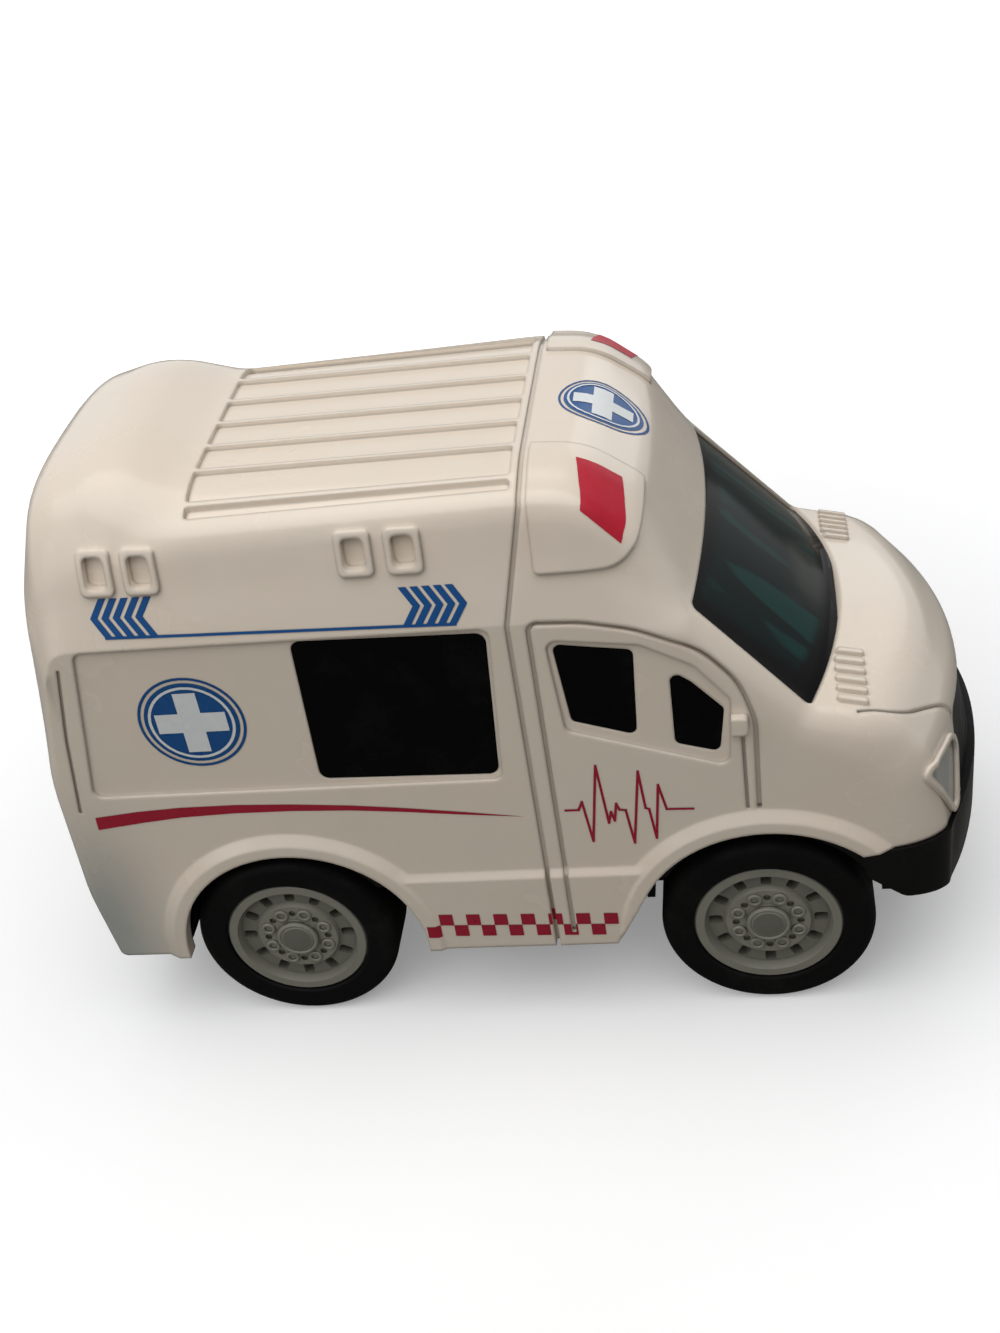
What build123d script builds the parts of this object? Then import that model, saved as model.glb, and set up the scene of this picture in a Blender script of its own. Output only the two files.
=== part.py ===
"""Toy ambulance with a die-cast body, a moulded base and a pull-back motor.

Millimetres. +X points forward, +Y to the left, +Z up. The origin lies on the ground,
half way between the axles, which is also the middle of the van's length.
"""

import os
from math import acos, cos, pi, radians, sin, tan

from build123d import *

# ---------------------------------------------------------------- driving sizes

# Running gear
WHEELBASE = 58.8
TYRE_RADIUS = 12.8
TYRE_WIDTH = 9.4
TYRE_FACE_Y = 22.4
TYRE_SHOULDER = 1.6
RIM_RADIUS = 9.0
AXLE_RADIUS = 1.0
AXLE_HALF_LENGTH = 20.0
RUNNING_FIT = 0.05

# Body, seen from the side
REAR_X = -55.3
NOSE_X = 55.2
SILL_Z = 12.0
BELT_Z = 59.0
ROOF_Z = 74.5
HUMP_RISE = 3.3
BONNET_Z = 46.3
SCREEN_TOP = (25.2, 59.6)
SCREEN_FOOT = (39.2, BONNET_Z)

# Body, seen from the front
HALF_WIDTH = 23.3
ROOF_HALF_WIDTH = 20.3
WALL = 1.3

# Details of the skin
GROOVE_WIDTH = 0.55
GROOVE_DEPTH = 0.35
SLOT_DEPTH = 0.55
FIT_GAP = 0.1
GLASS_THICKNESS = 1.1

# Wheel arches
ARCH_RADIUS = 16.2
REAR_ARCH_RADIUS = 15.5
REAR_ARCH_SHIFT = 1.8
LIP_WIDTH = 3.2
LIP_RISE = 0.85

# Base
BASE_BOTTOM_Z = 10.8
BASE_THICKNESS = 1.8
WELL_RADIUS = 14.0
WELL_WALL = 1.0
WELL_INNER_Y = 10.6
WELL_OUTER_Y = 21.5
WELL_LEG_DEPTH = 4.0
WELL_LEG_Z = 20.5

# Pull-back motor
GEAR_MODULE = 0.6
PINION_TEETH = 10
WHEEL_TEETH = 30
BACKLASH = 0.15
CASE_HALF_WIDTH = 8.5
CASE_WALL = 1.2

# ---------------------------------------------------------------- derived places

FRONT_X = WHEELBASE / 2
REAR_AXLE_X = -WHEELBASE / 2
BASE_TOP_Z = BASE_BOTTOM_Z + BASE_THICKNESS
FAR = 120.0
LEFT, RIGHT = 1, -1


# ---------------------------------------------------------------- the body's outer form

def outline_corners():
    """Corners of the van's side outline, clockwise from the rear sill.

    Each corner gives its place on the centre plane, at the roof's edge and on the flat
    side wall, then the radius that rounds it.
    """
    screen_x, screen_z = SCREEN_TOP
    foot_x, foot_z = SCREEN_FOOT
    hump_z = ROOF_Z + HUMP_RISE
    edge_z = ROOF_Z - 2.7
    return [
        ((REAR_X + 0.9, SILL_Z), (REAR_X + 1.9, SILL_Z), (REAR_X + 4.2, SILL_Z), 1.5),
        ((REAR_X - 0.1, 22.0), (REAR_X + 0.5, 22.0), (REAR_X + 2.4, 22.0), 30.0),
        ((REAR_X, 42.0), (REAR_X + 1.0, 40.0), (REAR_X + 2.9, 40.0), 30.0),
        ((REAR_X + 1.2, 64.0), (REAR_X + 4.2, 60.5), (REAR_X + 5.6, BELT_Z - 4.0), 12.0),
        ((REAR_X + 5.8, hump_z - 2.4), (REAR_X + 7.4, edge_z - 4.2), (REAR_X + 7.4, BELT_Z), 6.0),
        ((REAR_X + 15.5, hump_z), (REAR_X + 17.0, edge_z - 2.2), (REAR_X + 17.0, BELT_Z + 0.1), 12.0),
        ((REAR_X + 24.3, ROOF_Z - 0.2), (REAR_X + 24.3, edge_z - 1.1), (REAR_X + 24.3, BELT_Z + 0.2), 10.0),
        ((6.0, ROOF_Z), (6.0, edge_z + 0.2), (6.0, BELT_Z + 0.2), 40.0),
        ((13.5, ROOF_Z - 0.5), (12.5, edge_z - 0.4), (13.0, BELT_Z - 0.2), 9.0),
        ((19.5, ROOF_Z - 4.9), (18.0, edge_z - 4.9), (18.5, BELT_Z - 1.6), 7.0),
        ((screen_x, screen_z), (screen_x - 1.9, screen_z - 1.0), (screen_x - 3.7, screen_z - 3.8), 4.0),
        ((foot_x, foot_z), (foot_x - 3.7, foot_z - 1.1), (foot_x - 6.2, foot_z - 4.9), 3.0),
        ((foot_x + 8.8, foot_z - 1.8), (foot_x + 5.0, foot_z - 3.2), (foot_x + 0.3, foot_z - 8.6), 9.0),
        ((NOSE_X - 2.2, foot_z - 7.6), (NOSE_X - 6.4, foot_z - 8.6), (NOSE_X - 12.0, foot_z - 12.8), 6.0),
        ((NOSE_X, 27.0), (NOSE_X - 4.6, 27.0), (NOSE_X - 10.4, 26.0), 10.0),
        ((NOSE_X - 0.2, SILL_Z), (NOSE_X - 4.8, SILL_Z), (NOSE_X - 10.8, SILL_Z), 1.5),
    ]


def corner_at(corner, y):
    """Place of one outline corner on the plane at distance y from the centre."""
    centre, edge, wall, _ = corner
    on_roof = edge[1] > BELT_Z + 1.0
    share = min(y / ROOF_HALF_WIDTH, 1.0)
    crown = (share ** 2, share ** 6 if on_roof else share ** 2)
    over = max(y - ROOF_HALF_WIDTH, 0.0) / (HALF_WIDTH - ROOF_HALF_WIDTH)
    over = min(over, 1.0)
    lean = over if on_roof else 1.0 - (1.0 - over ** 2) ** 0.5
    return Vector(*(c + (e - c) * k + (w - e) * lean for c, e, w, k in zip(centre, edge, wall, crown)))


def turn_between(back, here, ahead):
    """Signed turn of the outline at a corner, in radians, positive to the left."""
    run_in = (here - back).normalized()
    run_out = (ahead - here).normalized()
    angle = acos(max(-1.0, min(1.0, run_in.dot(run_out))))
    return angle if run_in.cross(run_out).Z > 0 else -angle


def drawn_in(corners, inset):
    """The outline's corners moved inwards, square to the runs that meet in each."""
    moved = []
    for number, here in enumerate(corners):
        run_in = (here - corners[number - 1]).normalized()
        run_out = (corners[(number + 1) % len(corners)] - here).normalized()
        inward = Vector(run_in.Y, -run_in.X) + Vector(run_out.Y, -run_out.X)
        moved.append(here + inward * (inset * 2 / inward.length ** 2))
    return moved


def fitting_radii(corners, radii, inset):
    """Corner radii after the inset, kept small enough for the runs beside them."""
    fitted = []
    for number, radius in enumerate(radii):
        back = corners[number - 1]
        here = corners[number]
        ahead = corners[(number + 1) % len(corners)]
        turn = turn_between(back, here, ahead)
        wanted = radius - inset if turn < 0 else radius + inset
        room = 0.45 * min((here - back).length, (ahead - here).length)
        fitted.append(min(max(wanted, 0.4), room / max(tan(abs(turn) / 2), 1e-6)))
    return fitted


def body_form(inset=0.0, drop=0.0):
    """The van's closed form, lofted across its width, drawn in by the inset.

    A drop lowers the underside, so that a form used as a cavity opens downwards.
    """
    corners = outline_corners()
    radii = [corner[3] for corner in corners]
    rolled_width = HALF_WIDTH - ROOF_HALF_WIDTH
    steps = [0.0, 0.48 * ROOF_HALF_WIDTH, 0.75 * ROOF_HALF_WIDTH, 0.9 * ROOF_HALF_WIDTH]
    steps += [ROOF_HALF_WIDTH + rolled_width * sin(radians(angle)) for angle in (0, 22, 44, 64, 80, 90)]
    stations = [-y for y in reversed(steps[1:])] + steps
    with BuildPart() as form:
        for y in stations:
            places = drawn_in([corner_at(corner, abs(y)) for corner in corners], inset)
            for end in (0, -1):
                places[end] = places[end] - Vector(0, drop + inset if drop else 0)
            with BuildSketch(Plane.XZ.offset(-y * (1 - inset / HALF_WIDTH))):
                with BuildLine():
                    FilletPolyline(*places, radius=fitting_radii(places, radii, inset), close=True)
                make_face()
        loft()
    return form.part


# ---------------------------------------------------------------- prisms over the skin

def side_prism(points, radius=0.0, reach=FAR):
    """A profile seen from the side, carried through the van's whole width."""
    with BuildPart() as prism:
        with BuildSketch(Plane.XZ):
            with BuildLine():
                Polyline(*points, close=True)
            make_face()
            if radius:
                fillet(vertices(), radius)
        extrude(amount=reach, both=True)
    return prism.part


def line_prism(points, width, radii=0.0, plane=Plane.XZ, reach=FAR, both=True):
    """A narrow band along a line of points, for a groove, carried across the van."""
    with BuildPart() as prism:
        with BuildSketch(plane):
            with BuildLine():
                if len(points) > 2:
                    FilletPolyline(*points, radius=radii)
                else:
                    Line(*points)
                offset(amount=width / 2, side=Side.BOTH)
            make_face()
        extrude(amount=reach, both=both)
    return prism.part


# Windows, as seen from the side. The panel and the door both sit in shallow recesses.
MAIN_WINDOW = [(-20.4, 58.6), (1.4, 58.2), (0.2, 38.7), (-20.8, 39.2)]
DOOR_WINDOW = [(8.3, 56.2), (17.0, 54.9), (16.4, 43.3), (9.3, 45.7)]
QUARTER_WINDOW = [(20.6, 52.0), (22.9, 50.2), (26.2, 46.4), (25.4, 40.4), (20.5, 41.9)]
PANEL_RECESS = [(-45.4, 58.9), (1.9, 58.9), (0.6, 38.0), (-48.9, 38.0)]
DOOR_RECESS = [(7.6, 57.0), (17.7, 55.7), (23.3, 52.6), (27.0, 47.8), (26.4, 38.4), (8.5, 44.5)]
RECESS_DEPTH = 0.4
WINDOW_CORNER = 1.2

# The two seams between load space and cab, and the door's outline
CAB_SEAM_X = 3.9
ROOF_SEAM_X = 6.9
DOOR_REAR_X = 6.1
DOOR_FRONT_X = 29.3
DOOR_LINE_GAP = 1.3


def window_openings(clearance=0.0):
    """The three side windows on both sides, made smaller by the clearance."""
    with BuildPart() as openings:
        for outline, corner in ((MAIN_WINDOW, WINDOW_CORNER), (DOOR_WINDOW, 0.8), (QUARTER_WINDOW, 0.8)):
            with BuildSketch(Plane.XZ):
                with BuildLine():
                    Polyline(*outline, close=True)
                make_face()
                fillet(vertices(), corner)
                if clearance:
                    offset(amount=-clearance, mode=Mode.REPLACE)
            extrude(amount=FAR, both=True)
    return openings.part


def screen_plane():
    """Plane of the windscreen, with X across the van and Y up the glass."""
    top = Vector(SCREEN_TOP[0] - 1.6, 0, SCREEN_TOP[1] - 1.1)
    foot = Vector(SCREEN_FOOT[0] - 3.5, 0, SCREEN_FOOT[1] - 1.5)
    slope = (top - foot).normalized()
    return Plane(origin=(top + foot) / 2, x_dir=(0, 1, 0), z_dir=Vector(0, 1, 0).cross(slope))


SCREEN_HALF_TOP = 20.4
SCREEN_HALF_FOOT = 21.3
SCREEN_HALF_HEIGHT = 9.1


def screen_prism(margin=0.0, depth=9.0):
    """The windscreen's outline with its bowed lower edge, as a block through the skin."""
    half_height = SCREEN_HALF_HEIGHT + margin
    top = SCREEN_HALF_TOP + margin
    foot = SCREEN_HALF_FOOT + margin
    with BuildPart() as prism:
        with BuildSketch(screen_plane()):
            with BuildLine():
                Line((-top, half_height), (top, half_height))
                Line((top, half_height), (foot, -half_height))
                ThreePointArc((foot, -half_height), (0, -half_height - 2.0), (-foot, -half_height))
                Line((-foot, -half_height), (-top, half_height))
            make_face()
            fillet(vertices(), 0.9)
        extrude(amount=depth, both=True)
    return prism.part


REAR_WINDOW_LOW = 42.0
REAR_WINDOW_HIGH = 60.0
REAR_WINDOW_INNER = 1.8
REAR_WINDOW_OUTER = 15.5


def rear_windows(clearance=0.0):
    """The two windows in the rear doors."""
    with BuildPart() as windows:
        with BuildSketch(Plane.YZ.offset(REAR_X + 7)):
            with Locations(*(
                (side * (REAR_WINDOW_INNER + REAR_WINDOW_OUTER) / 2, (REAR_WINDOW_LOW + REAR_WINDOW_HIGH) / 2)
                for side in (LEFT, RIGHT)
            )):
                RectangleRounded(
                    REAR_WINDOW_OUTER - REAR_WINDOW_INNER - 2 * clearance,
                    REAR_WINDOW_HIGH - REAR_WINDOW_LOW - 2 * clearance,
                    1.5,
                )
        extrude(amount=-12)
    return windows.part


# ---------------------------------------------------------------- wheel arches and lips

SKIN_RISE = 0.45
BUMPER_REAR = (40.4, 24.8)
BUMPER_TOP_FRONT = (58.0, 28.0)
BUMPER_BOTTOM_Z = 18.2
GRILLE_LOW = (15.5, 22.0)
GRILLE_HIGH = (12.8, 36.6)
AXLE_Z = TYRE_RADIUS
FRONT_ARCH_X = FRONT_X + 0.5
REAR_ARCH_X = REAR_AXLE_X + REAR_ARCH_SHIFT
SILL_FRONT_X = 11.2
SILL_REAR_X = -12.5


def lower_cuts():
    """Wheel openings, the sloping sill ends, the bumper's region and all below the sills."""
    with BuildPart() as cuts:
        with BuildSketch(Plane.XZ):
            with Locations((FRONT_ARCH_X, AXLE_Z)):
                Circle(ARCH_RADIUS)
            with Locations((REAR_ARCH_X, AXLE_Z)):
                Circle(REAR_ARCH_RADIUS)
            with BuildLine():
                Polyline(
                    (FRONT_ARCH_X, 0), (SILL_FRONT_X, 0), (SILL_FRONT_X, SILL_Z),
                    (FRONT_ARCH_X - 0.875 * ARCH_RADIUS, AXLE_Z + 0.48 * ARCH_RADIUS),
                    (FRONT_ARCH_X, AXLE_Z), close=True,
                )
            make_face()
            with BuildLine():
                Polyline(
                    (REAR_ARCH_X, 0), (SILL_REAR_X, 0), (SILL_REAR_X, SILL_Z),
                    (REAR_ARCH_X + 0.875 * REAR_ARCH_RADIUS, AXLE_Z + 0.48 * REAR_ARCH_RADIUS),
                    (REAR_ARCH_X, AXLE_Z), close=True,
                )
            make_face()
            with Locations((REAR_ARCH_X, AXLE_Z)):
                Rectangle(REAR_ARCH_RADIUS, 2 * AXLE_Z, align=(Align.MAX, Align.MAX))
            with Locations((0, SILL_Z)):
                Rectangle(2 * FAR, FAR, align=(Align.CENTER, Align.MAX))
            with BuildLine():
                Polyline((BUMPER_REAR[0], 0), BUMPER_REAR, BUMPER_TOP_FRONT, (BUMPER_TOP_FRONT[0], 0), close=True)
            make_face()
        extrude(amount=FAR, both=True)
    return cuts.part


def arch_lips():
    """Solid discs over each wheel whose flanks slope down to the body's side."""
    outer_y = HALF_WIDTH + LIP_RISE
    with BuildPart() as lips:
        for x, radius in ((FRONT_ARCH_X, ARCH_RADIUS), (REAR_ARCH_X, REAR_ARCH_RADIUS)):
            wide = radius + LIP_WIDTH
            with BuildSketch(Plane.XY.offset(AXLE_Z)):
                with BuildLine():
                    Polyline(
                        (x, HALF_WIDTH - 6), (x + wide, HALF_WIDTH - 6), (x + wide, HALF_WIDTH - 0.1),
                        (x + wide - 2 * LIP_RISE, outer_y), (x, outer_y),
                        close=True,
                    )
                make_face()
            revolve(axis=Axis((x, 0, AXLE_Z), (0, 1, 0)))
        mirror(about=Plane.XZ)
    return lips.part


# ---------------------------------------------------------------- details of the skin

VENT_SIZE = (2.5, 3.6)
VENT_RIM = 0.7
VENT_Z = 68.3
VENT_XS = (-40.8, -35.6, -11.5, -6.1)
SLOT_COUNT = 6
SLOT_PITCH = 5.55
SLOT_RIB = 0.6
SLOT_FIELD = (-30.2, 5.6)
EDGE_SLOT_WIDTH = 1.5
POD_INNER_Y = 11.6
POD_LOW_Z = 64.8
LOUVRE_BARS = 6
LOUVRE_PLACE = (40.2, 16.2)
LOUVRE_SIZE = (3.4, 0.7)
LOUVRE_PITCH = 1.5
LENS_PLACE = (NOSE_X - 4.8, 18.9, 32.4)
LENS_FACING = (0.75, 0.62, 0.25)
BEZEL_WIDTH = 0.7
LENS_ROUNDS = (((1.9, 1.3), 1.8), ((0.7, -4.0), 0.7), ((-3.3, 2.4), 0.6))


def lens_plane():
    """Plane over the right headlamp, with X forwards and inwards and Y up."""
    x, y, z = LENS_PLACE
    ahead, out, up = LENS_FACING
    return Plane(origin=(x, -y, z), x_dir=(out, ahead, 0), z_dir=(ahead, -out, up))


def lens_prisms(margin=0.0, depth=6.0):
    """The teardrop outline of both headlamps, as blocks through the skin."""
    with BuildPart() as prisms:
        with BuildSketch(lens_plane()):
            for place, radius in LENS_ROUNDS:
                with Locations(place):
                    Circle(radius + margin)
            make_hull()
        extrude(amount=depth, both=True)
        mirror(about=Plane.XZ)
    return prisms.part


def roof_slots():
    """Wide lengthwise slots with a narrow one at each edge, as blocks over the roof."""
    rear, front = SLOT_FIELD
    middle = (rear + front) / 2
    span = SLOT_COUNT * SLOT_PITCH
    with BuildPart() as slots:
        with BuildSketch(Plane.XY.offset(BELT_Z + 6)):
            with Locations((middle, 0)):
                with GridLocations(0, SLOT_PITCH, 1, SLOT_COUNT):
                    RectangleRounded(front - rear, SLOT_PITCH - SLOT_RIB, 0.4)
                with GridLocations(0, span + EDGE_SLOT_WIDTH + SLOT_RIB, 1, 2):
                    RectangleRounded(front - rear, EDGE_SLOT_WIDTH, 0.4)
        extrude(amount=FAR)
    return slots.part


def vent_prisms(size_change=0.0):
    """The four small vents high on each side."""
    width, height = VENT_SIZE
    with BuildPart() as vents:
        for x in VENT_XS:
            lean = 0.0 if x > -30 else -0.5
            with BuildSketch(Plane.XZ):
                with Locations((x, VENT_Z + lean)):
                    RectangleRounded(width + size_change, height + size_change, 0.7)
            extrude(amount=FAR, both=True)
    return vents.part


def pod_blocks():
    """Blocks that mark out the beacon pods over the cab's upper corners."""
    rear = ROOF_SEAM_X + 0.6
    with BuildPart() as blocks:
        with BuildSketch(Plane.XZ.offset(POD_INNER_Y)):
            with BuildLine():
                FilletPolyline(
                    (rear, POD_LOW_Z), (16.4, POD_LOW_Z), (19.3, POD_LOW_Z + 3.0),
                    (19.6, POD_LOW_Z + 30), (rear, POD_LOW_Z + 30),
                    radius=[0.5, 4.0, 4.0, 0.5, 0.5], close=True,
                )
            make_face()
        extrude(amount=FAR)
        mirror(about=Plane.XZ)
    return blocks.part


def louvre_bars():
    """Two banks of short bars on the bonnet, below the windscreen."""
    x, y = LOUVRE_PLACE
    with BuildPart() as bars:
        with BuildSketch(Plane.XY.offset(BELT_Z - 30)):
            for side in (LEFT, RIGHT):
                with Locations((x, side * y)):
                    with GridLocations(0, LOUVRE_PITCH, 1, LOUVRE_BARS):
                        RectangleRounded(*LOUVRE_SIZE, 0.3)
        extrude(amount=FAR)
    return bars.part


TAIL_LAMP = (19.3, 31.0)
TAIL_LAMP_SIZE = (2.6, 11.0)


def tail_lamp_prisms():
    """Upright lamp blocks beside the rear doors."""
    y, z = TAIL_LAMP
    with BuildPart() as lamps:
        with BuildSketch(Plane.YZ.offset(REAR_X + 8)):
            with Locations((y, z), (-y, z)):
                RectangleRounded(*TAIL_LAMP_SIZE, 0.8)
        extrude(amount=-15)
    return lamps.part


def groove_prisms():
    """Every shut line: cab seam, doors, panel edges, rear doors and bonnet."""
    rear_face = Plane.YZ.offset(REAR_X + 9)
    over_bonnet = Plane.XY.offset(SCREEN_FOOT[1] - 14)
    lines = [
        line_prism([(ROOF_SEAM_X, ROOF_Z + 9), (ROOF_SEAM_X - 0.3, ROOF_Z - 2.6), (CAB_SEAM_X, BELT_Z),
                    (CAB_SEAM_X, 0)], GROOVE_WIDTH, 0.5),
        line_prism([(DOOR_REAR_X, SILL_Z + 2.5), (DOOR_REAR_X, BELT_Z + 0.2), (12.0, BELT_Z - 0.1),
                    (17.5, BELT_Z - 1.4), (24.0, BELT_Z - 4.4), (28.0, BELT_Z - 9.2),
                    (DOOR_FRONT_X + 0.2, BELT_Z - 14), (DOOR_FRONT_X, 32.4)],
                   GROOVE_WIDTH, [1.0, 14.0, 14.0, 10.0, 10.0, 10.0]),
        line_prism([(DOOR_FRONT_X - DOOR_LINE_GAP, 43.0), (DOOR_FRONT_X - DOOR_LINE_GAP, 32.4)], 0.4),
        line_prism([(REAR_X + 7.6, 56.6), (REAR_X + 5.7, 46.8), (REAR_X + 4.2, 36.0)], 0.4, 12.0),
        line_prism([(0, 14.5), (0, 68.0)], GROOVE_WIDTH, plane=rear_face, reach=-20, both=False),
    ]
    for side in (LEFT, RIGHT):
        lines.append(line_prism([(side * 0.5, 15.0), (side * 17.0, 15.0), (side * 17.0, 62.0),
                                 (side * 12.5, 67.5), (side * 0.5, 68.0)], GROOVE_WIDTH, 1.5,
                                plane=rear_face, reach=-20, both=False))
        lines.append(line_prism([(SCREEN_FOOT[0] + 1.4, side * 21.2), (SCREEN_FOOT[0] + 6.2, side * 19.9),
                                 (NOSE_X - 3.8, side * 13.2)], 0.3, 8.0, plane=over_bonnet, both=False))
    return lines


# ---------------------------------------------------------------- body shell

POST_RADIUS = 2.9
POST_BORE = 0.9
POST_BORE_DEPTH = 9.0
FRONT_POST_X = NOSE_X - 8.2
REAR_POST_X = REAR_X + 6.6
SCREW_POSTS = ((FRONT_POST_X, 0), (REAR_POST_X, 0))


def grille_prism(clearance=0.0):
    """The front opening between the headlamps, wider at its foot."""
    (low_y, low_z), (high_y, high_z) = GRILLE_LOW, GRILLE_HIGH
    with BuildPart() as prism:
        with BuildSketch(Plane.YZ.offset(NOSE_X - 9)):
            with BuildLine():
                FilletPolyline(
                    (-low_y, low_z), (low_y, low_z), (low_y, low_z + 7), (high_y, high_z),
                    (-high_y, high_z), (-low_y, low_z + 7),
                    radius=[0.5, 0.5, 3.0, 2.0, 2.0, 3.0], close=True,
                )
            make_face()
            if clearance:
                offset(amount=-clearance, mode=Mode.REPLACE)
        extrude(amount=20)
    return prism.part


def screw_posts(inner_limit):
    """Two posts for the base screws: one under the bonnet, one webbed to the rear wall."""
    with BuildPart() as posts:
        with BuildSketch(Plane.XY.offset(BASE_TOP_Z)):
            with Locations(*SCREW_POSTS):
                Circle(POST_RADIUS)
        extrude(amount=40)
        with BuildSketch(Plane.XY.offset(BASE_TOP_Z)):
            with Locations((REAR_POST_X, 0)):
                Rectangle(10, 1.6, align=(Align.MAX, Align.CENTER))
        extrude(amount=24)
        with BuildSketch(Plane.XZ):
            with Locations((REAR_POST_X, BASE_TOP_Z + 24)):
                Rectangle(4 * POST_RADIUS, 30, align=(Align.CENTER, Align.MIN))
        extrude(amount=POST_RADIUS + 1, both=True, mode=Mode.SUBTRACT)
        add(inner_limit, mode=Mode.INTERSECT)
        with Locations(*((x, y, BASE_TOP_Z) for x, y in SCREW_POSTS)):
            Cylinder(POST_BORE, POST_BORE_DEPTH, align=(Align.CENTER, Align.CENTER, Align.MIN), mode=Mode.SUBTRACT)
    return posts.part


def outside(blocks, form):
    """What blocks leave outside one of the body's forms."""
    with BuildPart() as rest:
        add(blocks)
        add(form, mode=Mode.SUBTRACT)
    return rest.part


def within(blocks, form):
    """What blocks and one of the body's forms share."""
    with BuildPart() as shared:
        add(blocks)
        add(form, mode=Mode.INTERSECT)
    return shared.part


def sill_slabs():
    """The thicker side walls between the wheels, chamfered along the top."""
    rear = SILL_REAR_X - 3
    with BuildPart() as slabs:
        with BuildSketch(Plane.YZ.offset(rear)):
            with BuildLine():
                Polyline(
                    (HALF_WIDTH - 1, SILL_Z - 1.5), (HALF_WIDTH + 0.5, SILL_Z - 1.5), (HALF_WIDTH + 0.6, 23.2),
                    (HALF_WIDTH - 0.1, 24.3), (HALF_WIDTH - 1, 24.3), close=True,
                )
            make_face()
        extrude(amount=SILL_FRONT_X + 5 - rear)
        mirror(about=Plane.XZ)
    return slabs.part


def side_recesses():
    """The flat sunk fields of the rear side panels and of the doors."""
    with BuildPart() as recesses:
        for outline in (PANEL_RECESS, DOOR_RECESS):
            with BuildSketch(Plane.XZ.offset(HALF_WIDTH - RECESS_DEPTH)):
                with BuildLine():
                    Polyline(*outline, close=True)
                make_face()
                fillet(vertices(), 1.2)
            extrude(amount=5)
        mirror(about=Plane.XZ)
    return recesses.part


def mirror_stubs():
    """Small square stubs at the front of the side windows."""
    with BuildPart() as stubs:
        with BuildSketch(Plane.XZ.offset(HALF_WIDTH - 0.5)):
            with Locations((DOOR_FRONT_X - 1.7, 44.7)):
                RectangleRounded(2.2, 2.3, 0.6)
        extrude(amount=1.7)
        mirror(about=Plane.XZ)
    return stubs.part


def body_shell(forms):
    """The hollow die-cast body with its raised and sunk details and its openings."""
    raised = [
        within(blocks, forms["raised"])
        for blocks in (vent_prisms(2 * VENT_RIM), louvre_bars(), lens_prisms(BEZEL_WIDTH),
                       tail_lamp_prisms(), pod_blocks())
    ]
    lips = within(arch_lips(), forms["lip"])
    grooves = [outside(line, forms["groove"]) for line in groove_prisms()]
    sunk = [outside(blocks, forms["slot"]) for blocks in (roof_slots(), vent_prisms())]
    openings = [lower_cuts(), window_openings(), screen_prism(), rear_windows(), lens_prisms(), grille_prism()]
    with BuildPart() as shell:
        add(forms["skin"])
        add([*raised, lips, sill_slabs(), mirror_stubs()], clean=False)
        add([*openings, *grooves, *sunk, side_recesses(), forms["cavity"]], clean=False, mode=Mode.SUBTRACT)
        add(screw_posts(forms["groove"]), clean=False)
    return shell


# ---------------------------------------------------------------- glazing and lamps

FLANGE = 1.8
SCREEN_FLANGE_HALF = 19.3
PANE_DEPTH = 3.4
SCREEN_KEEP_OUT = 5.0
BAND = [(REAR_X - 5, 36.4), (27.4, 36.4), (27.4, 48.5), (22.0, 56.5), (18.0, 61.6), (REAR_X - 5, 61.6)]


def lens_side(side):
    """Block that holds one side's headlamp prism only."""
    with BuildPart() as half:
        Box(FAR, FAR, FAR, align=(Align.CENTER, Align.MIN if side == LEFT else Align.MAX, Align.CENTER))
    return half.part


def windscreen(forms):
    """Smoked screen: a pane that fills the opening, with a flange behind its upper and lower edges."""
    with BuildPart() as screen:
        add(within(screen_prism(-FIT_GAP, PANE_DEPTH), forms["groove"]))
        with BuildSketch(screen_plane()):
            Rectangle(2 * SCREEN_FLANGE_HALF, 2 * (SCREEN_HALF_HEIGHT + FLANGE))
        flange = extrude(amount=6, both=True, mode=Mode.PRIVATE)
        add(within(flange, forms["cavity"]))
        add(forms["liner"], mode=Mode.SUBTRACT)
    return screen


def side_glazing(forms):
    """One U-shaped moulding inside the body, with every side and rear pane on it."""
    with BuildPart() as glazing:
        add(within(side_prism(BAND, 1.5), forms["cavity"]))
        add(within(window_openings(FIT_GAP), forms["groove"]))
        add(within(rear_windows(FIT_GAP), forms["groove"]))
        add(forms["liner"], mode=Mode.SUBTRACT)
        add(screen_prism(FLANGE + 3 * FIT_GAP, SCREEN_KEEP_OUT), mode=Mode.SUBTRACT)
    return glazing


def headlamp(forms, side):
    """Clear teardrop lens with a flange behind the skin."""
    with BuildPart() as lamp:
        add(within(lens_prisms(-FIT_GAP), forms["skin"]))
        add(within(lens_prisms(0.8), forms["cavity"]))
        add(forms["liner"], mode=Mode.SUBTRACT)
        add(grille_prism(-2 * FIT_GAP), mode=Mode.SUBTRACT)
        add(lens_side(side), mode=Mode.INTERSECT)
    return lamp


# ---------------------------------------------------------------- front bumper

BUMPER_GAP = 0.1
BUMPER_FLOOR = 1.2
BUMPER_OVERHANG = 0.6
GRILLE_SLOTS = 4
GRILLE_SLOT_HEIGHT = 1.0
GRILLE_SLOT_PITCH = 2.2


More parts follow.
